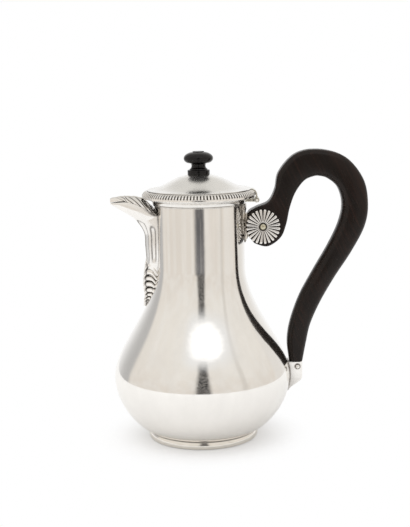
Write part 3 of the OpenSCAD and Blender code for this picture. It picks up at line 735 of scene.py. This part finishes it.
def makeSpout():
    last = len(spoutRows) - 1
    out = np.linspace(-90, 90, spout["ringSteps"] + 1)
    back = np.linspace(90, -90, spout["ringSteps"] // 2 + 1)
    rings, marks = [], []
    for s in np.arange(0, last + 1e-6, spout["rowStep"]).tolist() + [last]:
        outer, mark = spoutRing(s, 0, out, True)
        inner, insideShade = spoutRing(s, min(spout["wall"], 0.75 * smoothRow(spoutRows, s)[4]), back, False)
        rings.append(np.vstack([outer, inner]))
        marks.append(np.concatenate([mark * spout["shadeAndOxide"], insideShade]))
    tube = gridObject("spoutTube", np.array(rings), groove=np.array(marks))
    finishPiece(tube, "pot", ["spout"], finishes["spoutSilver"], sharp=50)


cover = {
    "wall": 1.0, "steps": 170, "bladesPerRow": 1.15, "bladeSweep": 1.9, "bladeBend": 1.3,
    "rib": 0.42, "trench": 0.38, "cut": 0.95, "swell": 0.25,
    # lower edge, crest and half width, from the neck to the beak
    "rows": [[-3.4, -17.2, -2.4, -15.4, 13.1], [1.6, -14, 2.8, -9.6, 12.7], [7, -10.6, 7.4, -5.6, 11.4],
             [13, -8.1, 13, -4, 9.1], [18.2, -6.9, 18.4, -3.7, 6.9], [20.4, -6.3, 20.6, -3.6, 5.9],
             [25, -6.6, 25.2, -3.7, 4.1], [28.6, -7.1, 28.8, -4.1, 2.4], [30.2, -7.5, 30.4, -4.9, 1.4]],
}
coverRows = np.array(cover["rows"], float)


def coverRelief(angles, s, last):
    # leaf with a midrib and lobes that sweep back from it: raised blades, dark cuts between them
    side = np.abs(angles)
    flow = s * cover["bladesPerRow"] + (side / 90) ** cover["bladeBend"] * cover["bladeSweep"]
    blade = flow - np.floor(flow)
    cut = bell(blade - 0.5, 0.13 + 0.07 * (1 - softStep(0, 3.5, s))) * softStep(9, 22, side)
    rib = bell(side, 7.0)
    trench = bell(side - 13, 4.5)
    fade = 1 - softStep(last - 3.2, last - 1.4, s)
    height = (cover["rib"] * rib - cover["trench"] * trench - cover["cut"] * cut
              + cover["swell"] * np.sin(blade * math.pi)) * fade
    # the cuts and trench keep oxide; near the neck the leaf is painted dark as shade under the rim band
    return height, np.clip(cut * 1.2 + trench * 0.7 + 0.35 * (1 - softStep(0, 2.4, s)), 0, 1) * fade


def makeSpoutCover():
    last = len(coverRows) - 1
    out, back = np.linspace(-90, 90, 161), np.linspace(90, -90, 61)
    a, b = np.radians(out), np.radians(back)
    rings, marks = [], []
    for s in np.linspace(0, last, cover["steps"]):
        row = smoothRow(coverRows, s)
        base, rise = row[0:2], row[2:4] - row[0:2]
        size = np.linalg.norm(rise)
        way = rise / size
        height, mark = coverRelief(out, s, last)
        lift = size * np.cos(a) + height * np.cos(a) ** 0.5
        width = (row[4] + 0.5 * height * (1 - np.cos(a)) * softStep(0, 0.5, last - s)) * np.sin(a)
        outer = spoutPoints(base[None, :] + way[None, :] * lift[:, None], width)
        innerSize = max(0.9 * size - cover["wall"], 0.15)
        inner = spoutPoints(base[None, :] + way[None, :] * (innerSize * np.cos(b))[:, None],
                            max(row[4] - cover["wall"], 0.3) * np.sin(b))
        rings.append(np.vstack([outer, inner]))
        marks.append(np.concatenate([mark, back * 0]))
    leaf = gridObject("spoutCoverLeaf", np.array(rings), groove=np.array(marks))
    finishPiece(leaf, "pot", ["spout_cover"], finishes["castSilver"], sharp=60)


leafDrop = {
    "lobes": 9.4, "arch": 1.25, "steps": 420, "acrossSteps": 221, "buried": 3.2,
    "pillow": 0.75, "cut": 0.9, "vein": 0.55,
    # reach, height and half width, from the top down
    "rows": [[6.4, -46.4, 4.6], [7.3, -50.5, 9.4], [8.4, -57.5, 9.6], [9.0, -63.2, 7.6],
             [8.6, -69.2, 5.2], [8.3, -73.4, 3.8], [9.2, -76.6, 2.4], [9.6, -80.4, 0.8]],
}
dropRows = np.array(leafDrop["rows"], float)


def makeLeafDrop():
    # a row of small pillowed lobes, each arching over the next, with dark cuts between them and a slim tip
    last = len(dropRows) - 1
    angles = np.linspace(-90, 90, leafDrop["acrossSteps"])
    a = np.radians(angles)
    side = np.abs(angles) / 90
    arch = leafDrop["arch"] * np.sin(math.pi * np.clip(side * 0.86, 0, 1)) - 0.9 * softStep(0.72, 1.0, side)
    rings, marks = [], []
    for s in np.linspace(0, last, leafDrop["steps"]):
        reach, height, wide = smoothRow(dropRows, s)
        flow = leafDrop["lobes"] * s / last + arch
        part = flow - np.floor(flow)
        pillow = np.sin(math.pi * part) ** 0.7
        cut = bell(np.minimum(part, 1 - part), 0.15)
        vein = bell(side - 0.34 - 0.1 * part, 0.055)
        fade = softStep(0, 0.2, s) * (1 - softStep(last - 1.3, last - 0.5, s))
        lift = (leafDrop["pillow"] * pillow - leafDrop["cut"] * cut - leafDrop["vein"] * vein) * fade * min(1, wide / 5)
        half = wide * (0.93 + 0.14 * (pillow - cut) * fade)
        depth = reach + leafDrop["buried"]
        x = reach - depth + (depth + lift - 0.35) * np.cos(a) ** 0.8
        rings.append(spoutPoints(np.column_stack([x, np.full(len(a), height)]), -half * np.sin(a)))
        tipLine = bell(side - 0.42, 0.12) * softStep(last - 1.5, last - 0.7, s) * 0.9
        marks.append(np.clip((cut + 0.85 * vein) * fade + tipLine, 0, 1))
    leaf = gridObject("spoutLeafDrop", np.array(rings), groove=np.array(marks))
    finishPiece(leaf, "pot", ["spout_leaf"], finishes["castSilver"], sharp=60)


makeSpout()
makeSpoutCover()
makeLeafDrop()
print("spout made")


# The handle between the scroll's rivet and the socket on the belly.

scrollX, scrollZ = neckR + 12.4, mouthZ - 25.3
socketX, socketZ = bellyR + 4.2, bellyZ + 9

handle = {
    "scrollHalf": 7.0, "archHalf": 7.8, "rowStep": 0.1, "cornerSteps": 9,
    "reach": (115.79, 200.01),  # the outer edge stays within the part's own box
    # outer and inner edge, from the scroll's rivet
    "rows": [[-9.9, -6.6, -5.8, -11.7], [-10.3, 1.9, 3.2, -13.9], [-9.9, 9.4, 12.2, -7.9], [-4.4, 13.1, 16.1, 1.3],
             [4, 16.8, 18.5, 12], [8.5, 25.1, 22.5, 22.6], [11.3, 37, 28.7, 30.7], [22.7, 49.1, 34.9, 33.5],
             [38.8, 51.9, 39.2, 33.7], [56.8, 46.4, 44.7, 31.9], [69.1, 31.4, 51.7, 25.5], [72.5, 13.9, 54.7, 13.9],
             [70.1, -1.7, 51.9, 0.5], [60.8, -19.6, 44.7, -14.5], [49.8, -36.4, 35.3, -30.5], [39.6, -54, 25.3, -48.7]],
    # the lower end, from the middle of the socket's top
    "footRows": [[10.3, 26, -3.9, 28.2], [7.3, 13.4, -6.1, 13.9], [4.6, 0, -4.6, 0]],
    # rounding of the corners and crown of the faces, at shares of the length
    "cornerAt": [0, 0.2, 0.32, 0.5, 0.8, 0.95, 1], "corner": [1.5, 1.6, 3.2, 3.8, 5.4, 4.6, 3.4],
    "crownAt": [0, 0.2, 0.34, 0.9, 1], "crown": [0, 0, 0.16, 0.14, 0.05],
}
scrollHalf, archHalf = handle["scrollHalf"], handle["archHalf"]
handleRows = np.vstack([np.array(handle["rows"]) + [scrollX, scrollZ, scrollX, scrollZ],
                        np.array(handle["footRows"]) + [socketX, socketZ, socketX, socketZ]])


def handleRing(s, shrink=0.0):
    t = s / (len(handleRows) - 1)
    row = smoothRow(handleRows, s)
    outer, inner = row[0:2], row[2:4]
    middle, half = (outer + inner) / 2, np.linalg.norm(outer - inner) / 2
    way = (outer - inner) / (2 * half)
    thick = np.interp(t, [0, 0.2, 0.36, 0.6, 0.9, 1],
                      [scrollHalf, scrollHalf, archHalf, archHalf, scrollHalf - 0.2, scrollHalf - 0.5])
    corner = min(np.interp(t, handle["cornerAt"], handle["corner"]), half - 0.4)
    half, thick, corner = half - shrink, thick - shrink, max(corner - shrink * 0.5, 0.3)
    crown = float(np.interp(t, handle["crownAt"], handle["crown"]))
    ring = []
    for quarter, (sx, sy) in enumerate(((1, 1), (-1, 1), (-1, -1), (1, -1))):
        for k in range(handle["cornerSteps"] + 1):
            a = math.radians(90 * quarter + 90 * k / handle["cornerSteps"])
            x, y = sx * (half - corner) + corner * math.cos(a), sy * (thick - corner) + corner * math.sin(a)
            p = np.minimum(middle + way * x, handle["reach"])
            ring.append((p[0], -y * (1 - crown * (x / half) ** 2), p[1]))
    return np.array(ring)


def makeHandle():
    last = len(handleRows) - 1
    steps = np.arange(0, last + 1e-6, handle["rowStep"])
    rings = [handleRing(0, 0.7), handleRing(0.02, 0.25)] + [handleRing(s) for s in np.append(steps[1:], last - 0.02)]
    rings += [handleRing(last, 0.12)]
    grip = gridObject("ebonyHandle", np.array(rings))
    finishPiece(grip, "pot", ["handle"], finishes["handleEbony"], sharp=45)


mount = {
    "low": mouthZ - 37, "high": collarLow - 0.1, "strap": 0.85, "head": 0.8, "buried": 0.5,
    "reach": 15.5, "rows": 190, "cols": 211,
    "padHalf": 5.6, "padOut": 2, "tongueRadius": 7.5, "tongueHalf": 2,
    # round lobes down each side: degrees round the neck, height, radius, lift
    "lobes": [(20.0, collarLow - 2.2, 1.9, 0.1)]
    + [(21.4 - 1.7 * k, scrollZ + 4 - 3.7 * k, 1.7 - 0.12 * k, 0.2) for k in range(4)],
}


def mountFace():  # height of the plate above the neck and its oxide, over height and distance across
    low, high = mount["low"], mount["high"]
    edge = joinCurves(bezierCurve([[high, 12.6], [high - 8, 9.5], [high - 12, 14.6], [high - 18, 11]], 30),
                      bezierCurve([[high - 18, 11], [high - 22, 8.6], [low + 4, 5.4], [low, 0]], 20)[1:])
    levels = np.linspace(high, low - 1.5, mount["rows"])
    z, across = np.meshgrid(levels, np.linspace(-mount["reach"], mount["reach"], mount["cols"]), indexing="ij")
    half = np.interp(levels, edge[::-1, 0], edge[::-1, 1], left=-1.0)[:, None]
    inside = half - np.abs(across)
    thick = mount["strap"] + mount["head"] * softStep(scrollZ + 8.5, scrollZ + 13, z)
    plate = -mount["buried"] + (thick + mount["buried"]) * softStep(-0.25, 0.25, inside)
    border = 0.5 * bell(inside - 0.9, 0.55) * (half > 1.5)
    valley = -0.28 * bell(inside - 2.0, 0.4) * (half > 3)
    height = plate + border + valley
    mark = np.clip(bell(inside - 2.0, 0.5) + bell(inside + 0.1, 0.25), 0, 1)
    for angle, lobeZ, r, lift in mount["lobes"]:
        for sign in (-1, 1):
            d = np.sqrt((across - sign * math.radians(angle) * neckR) ** 2 + (z - lobeZ) ** 2)
            ball = lift + np.sqrt(np.maximum(r * r - d * d, 0))
            curl = -0.3 * bell(d - 0.55 * r, 0.16 * r)  # cut into each lobe
            near = d < r
            height = np.where(near, np.maximum(height, ball + curl), height)
            mark = np.where(near, np.clip(bell(d - 0.55 * r, 0.2 * r), 0, 1), mark)
            mark = np.maximum(mark, bell(d - r, 0.22))
    return z, across / neckR, height, mark


def makeHandleMount():
    z, a, height, mark = mountFace()
    front, back = (np.stack([r * np.cos(a), r * np.sin(a), z], axis=-1)
                   for r in (neckR + height, np.full_like(height, neckR - 0.55)))
    shell = gridObject("mountPlate", np.concatenate([front, back[:, ::-1]], axis=1),
                       groove=np.concatenate([mark, mark * 0], axis=1))
    wide, radius = mount["padHalf"], mount["tongueRadius"]
    pad = slabObject("mountPad", blockOutline(neckR - 0.3, -wide, neckR + mount["padOut"], wide),
                     scrollZ - 8.5, scrollZ + 9.1, bevel=0.5, axis="Z")
    tongueLine = joinCurves([[neckR + 1.2, scrollZ + radius], [neckR + 1.2, scrollZ - radius]],
                            arcCurve([scrollX, scrollZ], radius, -90, 90, 32))
    tongue = slabObject("mountTongue", tongueLine, -mount["tongueHalf"], mount["tongueHalf"], bevel=0.2)
    piece = joinObjects("handleMount", [shell, pad, tongue])
    finishPiece(piece, "pot", ["handle_mount"], finishes["mountSilver"], sharp=55)


rosette = {
    "radius": 12.0, "hub": 2.9, "ribs": 24, "face": 1.95, "samplesPerRib": 24, "edgeRound": 1.2, "scallop": 0.055,
    "hubFloor": 1.0, "hubWell": 2.4, "hubStep": 0.2,
}


def makeRosettes():
    radius, hub, edgeRound = rosette["radius"], rosette["hub"], rosette["edgeRound"]
    count = rosette["ribs"] * rosette["samplesPerRib"]
    angles = np.linspace(0, 2 * math.pi, count, endpoint=False)
    phase = angles * rosette["ribs"] / (2 * math.pi)
    f = np.abs(2 * (phase - np.floor(phase)) - 1)  # 0 on a rib's crest, 1 in a groove
    notch = rosette["scallop"] * f ** 2.2
    radii = np.concatenate([[0.0, 0.9, 1.7, 2.2, 2.5, 2.62], np.linspace(2.75, radius - edgeRound, 34),
                            radius - edgeRound + edgeRound * np.sin(np.radians([12, 25, 38, 50, 62, 74, 84]))])

    def ringAt(r, z):
        return np.column_stack([r * np.cos(angles), r * np.sin(angles), z + angles * 0])

    rings, marks = [], []
    for r in radii:
        grow = softStep(hub, hub + 0.8, r)
        deep = (0.45 + 0.95 * softStep(hub, radius, r)) * grow
        crest = rosette["face"] - 0.25 * (1 - grow)
        if r > radius - edgeRound:
            crest -= 1 - math.sqrt(max(1 - ((r - radius + edgeRound) / edgeRound) ** 2, 0))
        if r < rosette["hubWell"] + rosette["hubStep"]:
            crest = rosette["hubFloor"] + 0.6 * max(r - rosette["hubWell"], 0) / rosette["hubStep"]
        z = np.maximum(crest - deep * (1 - np.sqrt(np.clip(1 - f ** 2 * 0.98, 0, 1))), 0.35)
        rings.append(ringAt(r * (1 - notch * softStep(radius - 2.2, radius, r)), z))
        marks.append(np.clip(softStep(0.38, 0.72, f) * (0.45 + 0.55 * grow) + (r < 3.0) * 0.8, 0, 1))
    # the thin edge and the flat back
    rings += [ringAt((radius - 0.02) * (1 - notch), 0.45), ringAt((radius - 0.1) * (1 - notch), 0.0), ringAt(0, 0)]
    marks += [softStep(0.4, 0.9, f), np.full(count, 0.6), angles * 0]
    for node, name, side in (("rosette_front", "rosetteFront", -1), ("rosette_back", "rosetteBack", 1)):
        disc = gridObject(name, np.array(rings), caps=False, groove=np.array(marks), weld=True)
        disc.data.transform(Matrix(((1, 0, 0, scrollX * mm), (0, 0, side, side * scrollHalf * mm),
                                    (0, 1, 0, scrollZ * mm), (0, 0, 0, 1))))
        faceOutward(disc.data)
        finishPiece(disc, "pot", [node], finishes["castSilver"], sharp=60)


rivets = {  # place, reach to the head, shank and head radius, rise of the head, unevenness
    "rosetteRivet": ((scrollX, scrollZ), scrollHalf + 1.05, 1.5, 2.2, 1.5),
    "socketPin": ((socketX + 0.9, socketZ - 3.6), 6.1, 1.0, 1.55, 1.6),
    "wobble": 0.03,
}


def headedPin(name, material, nodes):
    # a rivet across the pot: shank with a domed, slightly beaten head at both ends
    centre, reach, shank, head, rise = rivets[name]
    dome = bezierCurve([[head, reach], [head, reach + 0.6 * rise], [0.62 * head, reach + rise], [0, reach + rise]], 14)
    half = joinCurves([[shank, 0], [shank, reach - 0.02]], dome)
    line = joinCurves(half[::-1], half[1:] * [1, -1])

    def beat(angles, ring):
        wobble = rivets["wobble"] * np.sin(3 * angles + 0.7)[:, None] * (np.abs(ring[..., 1]) > reach + 0.1)
        ring[..., 1] += wobble * np.sign(ring[..., 1]) * (ring[..., 0] / head)
        return ring

    def shadeAndOxide(angles, ring):
        return bell(ring[..., 0] - head, 0.3) * 0.9

    pin = revolveObject(name, line, 72, change=beat, groove=shadeAndOxide)
    layAcross(pin, *centre)
    finishPiece(pin, "pot", nodes, material, sharp=50)


socket = {
    "front": 4.3, "half": 6.0, "straight": 11, "shieldFrom": 8, "bottom": 22.4, "topEdge": 0.35, "corner": 1.1,
    "levels": 120, "alongSteps": 44, "cornerSteps": 8,
}


def makeLowerSocket():
    top = socketZ - 0.2
    right = socketX + socket["front"]
    sideLine = bezierCurve([[right, socketZ - socket["straight"]], [right, socketZ - 15],
                            [bellyR + 1.2, socketZ - 18], [bellyR - 1.2, socketZ - 22.6]], 40)
    shield = bezierCurve([[socket["half"], socketZ - socket["shieldFrom"]], [6, socketZ - 15],
                          [1.6, socketZ - 18], [0, socketZ - 23]], 40)
    easing = np.radians([0, 40, 65, 90])  # the top edge is rounded over four levels
    levels = np.concatenate([top - socket["topEdge"] * (1 - np.cos(easing)),
                             np.linspace(top - 0.6, socketZ - socket["bottom"], socket["levels"])])
    pinX, pinZ = rivets["socketPin"][0]
    rings, marks = [], []
    for k, z in enumerate(levels):
        outer, half = right, socket["half"]
        if z <= socketZ - socket["straight"]:
            outer = float(np.interp(z, sideLine[::-1, 1], sideLine[::-1, 0]))
        if z <= socketZ - socket["shieldFrom"]:
            half = float(np.interp(z, shield[::-1, 1], shield[::-1, 0]))
        shrink = socket["topEdge"] * (1 - math.sin(easing[k])) if k < len(easing) else 0.0
        half = max(half - shrink, 0.12)
        wall = float(vesselRadius(z))
        inner = math.sqrt(max(wall ** 2 - half ** 2, 1)) - 0.4
        outer = max(outer - shrink, wall - 0.1)
        corner = min(socket["corner"], half * 0.7, (outer - inner) * 0.45)
        along = np.linspace(inner, outer - corner, socket["alongSteps"])
        ring = joinCurves(
            np.column_stack([along, along * 0 - half]),
            arcCurve([outer - corner, corner - half], corner, -90, 0, socket["cornerSteps"])[1:],
            arcCurve([outer - corner, half - corner], corner, 0, 90, socket["cornerSteps"]),
            np.column_stack([along[::-1], along * 0 + half]))
        rings.append(np.column_stack([ring, np.full(len(ring), z)]))
        # painted shade along the joint with the belly, fading out across the side; a dark ring round the pin's head
        fromWall = ring[:, 0] - inner - 0.3
        aroundPin = np.hypot(ring[:, 0] - pinX, z - pinZ)
        marks.append(np.clip(bell(fromWall, 0.75) + 0.33 * bell(fromWall, 3.4) + bell(aroundPin - 1.75, 0.5), 0, 1))
    shoe = gridObject("lowerSocket", np.array(rings), groove=np.array(marks))
    finishPiece(shoe, "pot", ["lower_socket"], finishes["sheetSilver"], sharp=40)


makeHandle()
makeHandleMount()
makeRosettes()
headedPin("rosetteRivet", finishes["rivetMetal"], ["rosette_pin"])
makeLowerSocket()
headedPin("socketPin", finishes["sheetSilver"], ["lower_pin"])
print("handle and its fittings made")

# the small hidden fittings keep their own shape
for nodeName in ("lid_bezel", "knob_stud", "knob_washer", "knob_nut", "hinge_pin"):
    coatObject(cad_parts[nodeName], finishes["innerSilver"], 30)


# The studio: camera, white table, what the silver mirrors, and one soft lamp.

studio = {
    "focalPixels": 1115.3, "frameHeight": 527, "sensor": 36,
    "eye": (0.0032, -0.7641, 0.2479), "pitch": 9.35, "roll": -1.063,
    "tableRadius": 0.62, "tableColour": (0.94, 0.935, 0.925, 1), "shadowFrom": 0.037, "shadowTo": 0.078, "white": 1.0,
    "lampPlace": (-0.35, -0.35, 1.0), "lampWay": (0.35, 0.35, -0.9), "lampSize": (0.9, 0.7), "lampPower": 1.6,
}


def makeCamera():
    lens = bpy.data.cameras.new("studioCamera")
    lens.sensor_width = studio["sensor"]
    lens.lens = studio["sensor"] * studio["focalPixels"] / studio["frameHeight"]
    lens.clip_start, lens.clip_end = 0.01, 20
    camera = linkedObject("studioCamera", lens)
    tilt = Matrix.Rotation(math.radians(90 - studio["pitch"]), 4, "X")
    roll = Matrix.Rotation(math.radians(studio["roll"]), 4, "Z")
    camera.matrix_world = Matrix.Translation(studio["eye"]) @ tilt @ roll
    bpy.context.scene.camera = camera


def makeFloor():  # white to the eye away from the pot; mirrored only as a round table
    edit = bmesh.new()
    bmesh.ops.create_circle(edit, cap_ends=True, radius=4.0, segments=96)
    table = meshObject("whiteTable", edit)
    table.location.z = -0.0003
    material = bpy.data.materials.new("tablePaper")
    material.use_nodes = True
    tree = material.node_tree
    tree.nodes.clear()
    out = tree.nodes.new("ShaderNodeOutputMaterial")
    paper = addNode(tree, "ShaderNodeBsdfDiffuse", Color=studio["tableColour"])
    glow = addNode(tree, "ShaderNodeEmission", Color=(1, 1, 1, 1), Strength=studio["white"])
    rays = tree.nodes.new("ShaderNodeLightPath")
    place = tree.nodes.new("ShaderNodeNewGeometry")
    far = addNode(tree, "ShaderNodeVectorMath", operation="LENGTH")
    tree.links.new(place.outputs["Position"], far.inputs[0])
    far = far.outputs["Value"]
    shadowless = rangeNode(tree, far, studio["shadowFrom"], studio["shadowTo"], 0.3, 1.0)
    bright = mixShader(tree, times(tree, rays.outputs["Is Camera Ray"], shadowless), paper.outputs[0], glow.outputs[0])
    clear = tree.nodes.new("ShaderNodeBsdfTransparent").outputs[0]
    beyond = mathNode(tree, "GREATER_THAN", far, studio["tableRadius"])
    final = mixShader(tree, times(tree, beyond, rays.outputs["Is Glossy Ray"]), bright, clear)
    tree.links.new(final, out.inputs[0])
    table.data.materials.append(material)


room = {  # colours of what the silver mirrors; places in degrees, 0 is the camera's side
    "leftEdge": (0.52, 0.515, 0.51), "rightEdge": (0.80, 0.775, 0.74),
    "backLow": (1.0, 1.0, 1.0), "backHigh": (0.74, 0.725, 0.69),
    "wallLow": (0.77, 0.72, 0.66), "wallHigh": (0.86, 0.83, 0.78), "wallCloud": (0.87, 0.85, 0.815),
    "ceiling": (0.77, 0.755, 0.715), "corner": (0.45, 0.42, 0.38), "cornerTurn": 56,
    "low": (0.15, 0.15, 0.16), "stand": (0.042, 0.04, 0.04), "standLean": 0.06,
    "halo": (0.88, 0.905, 0.94), "lamp": (1.3, 1.3, 1.3), "lampTurn": 15, "lampHeight": 49, "lampHalf": (50, 6.6),
}


def makeRoom():
    # white to the eye; what polished silver mirrors is a warm room, a dark stand and a soft lamp in front
    world = bpy.data.worlds.new("studioRoom")
    bpy.context.scene.world = world
    world.use_nodes = True
    tree = world.node_tree
    tree.nodes.clear()
    out = tree.nodes.new("ShaderNodeOutputWorld")
    way = tree.nodes.new("ShaderNodeTexCoord").outputs["Generated"]
    split = tree.nodes.new("ShaderNodeSeparateXYZ")
    tree.links.new(way, split.inputs[0])
    x, y, z = split.outputs
    turn = times(tree, mathNode(tree, "ARCTAN2", x, times(tree, y, -1.0)), 180 / math.pi)
    height = times(tree, mathNode(tree, "ARCSINE", z), 180 / math.pi)
    side = mathNode(tree, "ABSOLUTE", turn)

    def patch(value, centre, half, soft):  # 1 inside centre +- half, fading over soft
        return rangeNode(tree, distanceFrom(tree, value, centre), half, half + soft, 1.0, 0.0)

    def share(value, centre, half):
        return mathNode(tree, "DIVIDE", mathNode(tree, "SUBTRACT", value, centre), half)

    edges = mixColour(tree, mathNode(tree, "GREATER_THAN", turn, 0.0), room["leftEdge"], room["rightEdge"])
    backdrop = mixColour(tree, rangeNode(tree, height, 10, 40), room["backLow"], room["backHigh"])
    sweep = mixColour(tree, rangeNode(tree, side, 118, 168), edges, backdrop)
    wall = mixColour(tree, rangeNode(tree, height, -12, 50), room["wallLow"], room["wallHigh"])
    cloud = rangeNode(tree, noiseNode(tree, way, 4.5, 3, 0.55), 0.38, 0.62, 0.0, 0.55)
    wall = mixColour(tree, cloud, wall, room["wallCloud"])
    colour = mixColour(tree, rangeNode(tree, side, 106, 114, 1.0, 0.0), sweep, wall)
    colour = mixColour(tree, rangeNode(tree, height, 46, 66), colour, room["ceiling"])
    corner = times(tree, patch(turn, room["cornerTurn"], 1.5, 4), 0.3)
    colour = mixColour(tree, corner, colour, room["corner"])
    mottle = rangeNode(tree, noiseNode(tree, way, 16, 3, 0.7, stretch=(1, 1, 1.6)), 0.38, 0.60, 0.72, 1.0)
    leaning = mathNode(tree, "MULTIPLY_ADD", height, room["standLean"], distanceFrom(tree, turn, 1))
    stand = times(tree, rangeNode(tree, leaning, 6, 13, 1.0, 0.0), patch(height, 17, 20, 8))
    low = times(tree, patch(turn, -1, 8, 8), patch(height, -15, 7.5, 5))
    halo = times(tree, patch(turn, room["lampTurn"], 32, 30), rangeNode(tree, height, 33, 46, 0.0, 0.6))
    across = share(turn, room["lampTurn"], room["lampHalf"][0])
    upward = share(height, room["lampHeight"], room["lampHalf"][1])
    spread = mathNode(tree, "MULTIPLY_ADD", across, across, times(tree, upward, upward))
    lamp = rangeNode(tree, spread, 0.35, 1.35, 1.0, 0.0)
    colour = mixColour(tree, times(tree, low, mottle), colour, room["low"])
    colour = mixColour(tree, times(tree, stand, mottle), colour, room["stand"])
    colour = mixColour(tree, halo, colour, room["halo"])
    colour = mixColour(tree, lamp, colour, room["lamp"])
    mirrored = tree.nodes.new("ShaderNodeBackground")
    tree.links.new(colour, mirrored.inputs[0])
    plain = addNode(tree, "ShaderNodeBackground", Color=(1, 1, 1, 1), Strength=1.0)
    white = addNode(tree, "ShaderNodeBackground", Color=(1, 1, 1, 1), Strength=studio["white"])
    rays = tree.nodes.new("ShaderNodeLightPath").outputs
    lit = mixShader(tree, rays["Is Glossy Ray"], plain.outputs[0], mirrored.outputs[0])
    tree.links.new(mixShader(tree, rays["Is Camera Ray"], lit, white.outputs[0]), out.inputs[0])


def makeLamp():
    light = bpy.data.lights.new("softTop", "AREA")
    light.shape, light.energy = "RECTANGLE", studio["lampPower"]
    light.size, light.size_y = studio["lampSize"]
    lamp = linkedObject("softTop", light)
    turned = Vector(studio["lampWay"]).to_track_quat("-Z", "Y").to_matrix().to_4x4()
    lamp.matrix_world = Matrix.Translation(studio["lampPlace"]) @ turned
    lamp.visible_glossy = False
    lamp.visible_camera = False


makeCamera()
makeFloor()
makeRoom()
makeLamp()
bpy.context.scene.view_settings.view_transform = "Standard"
print("studio set")
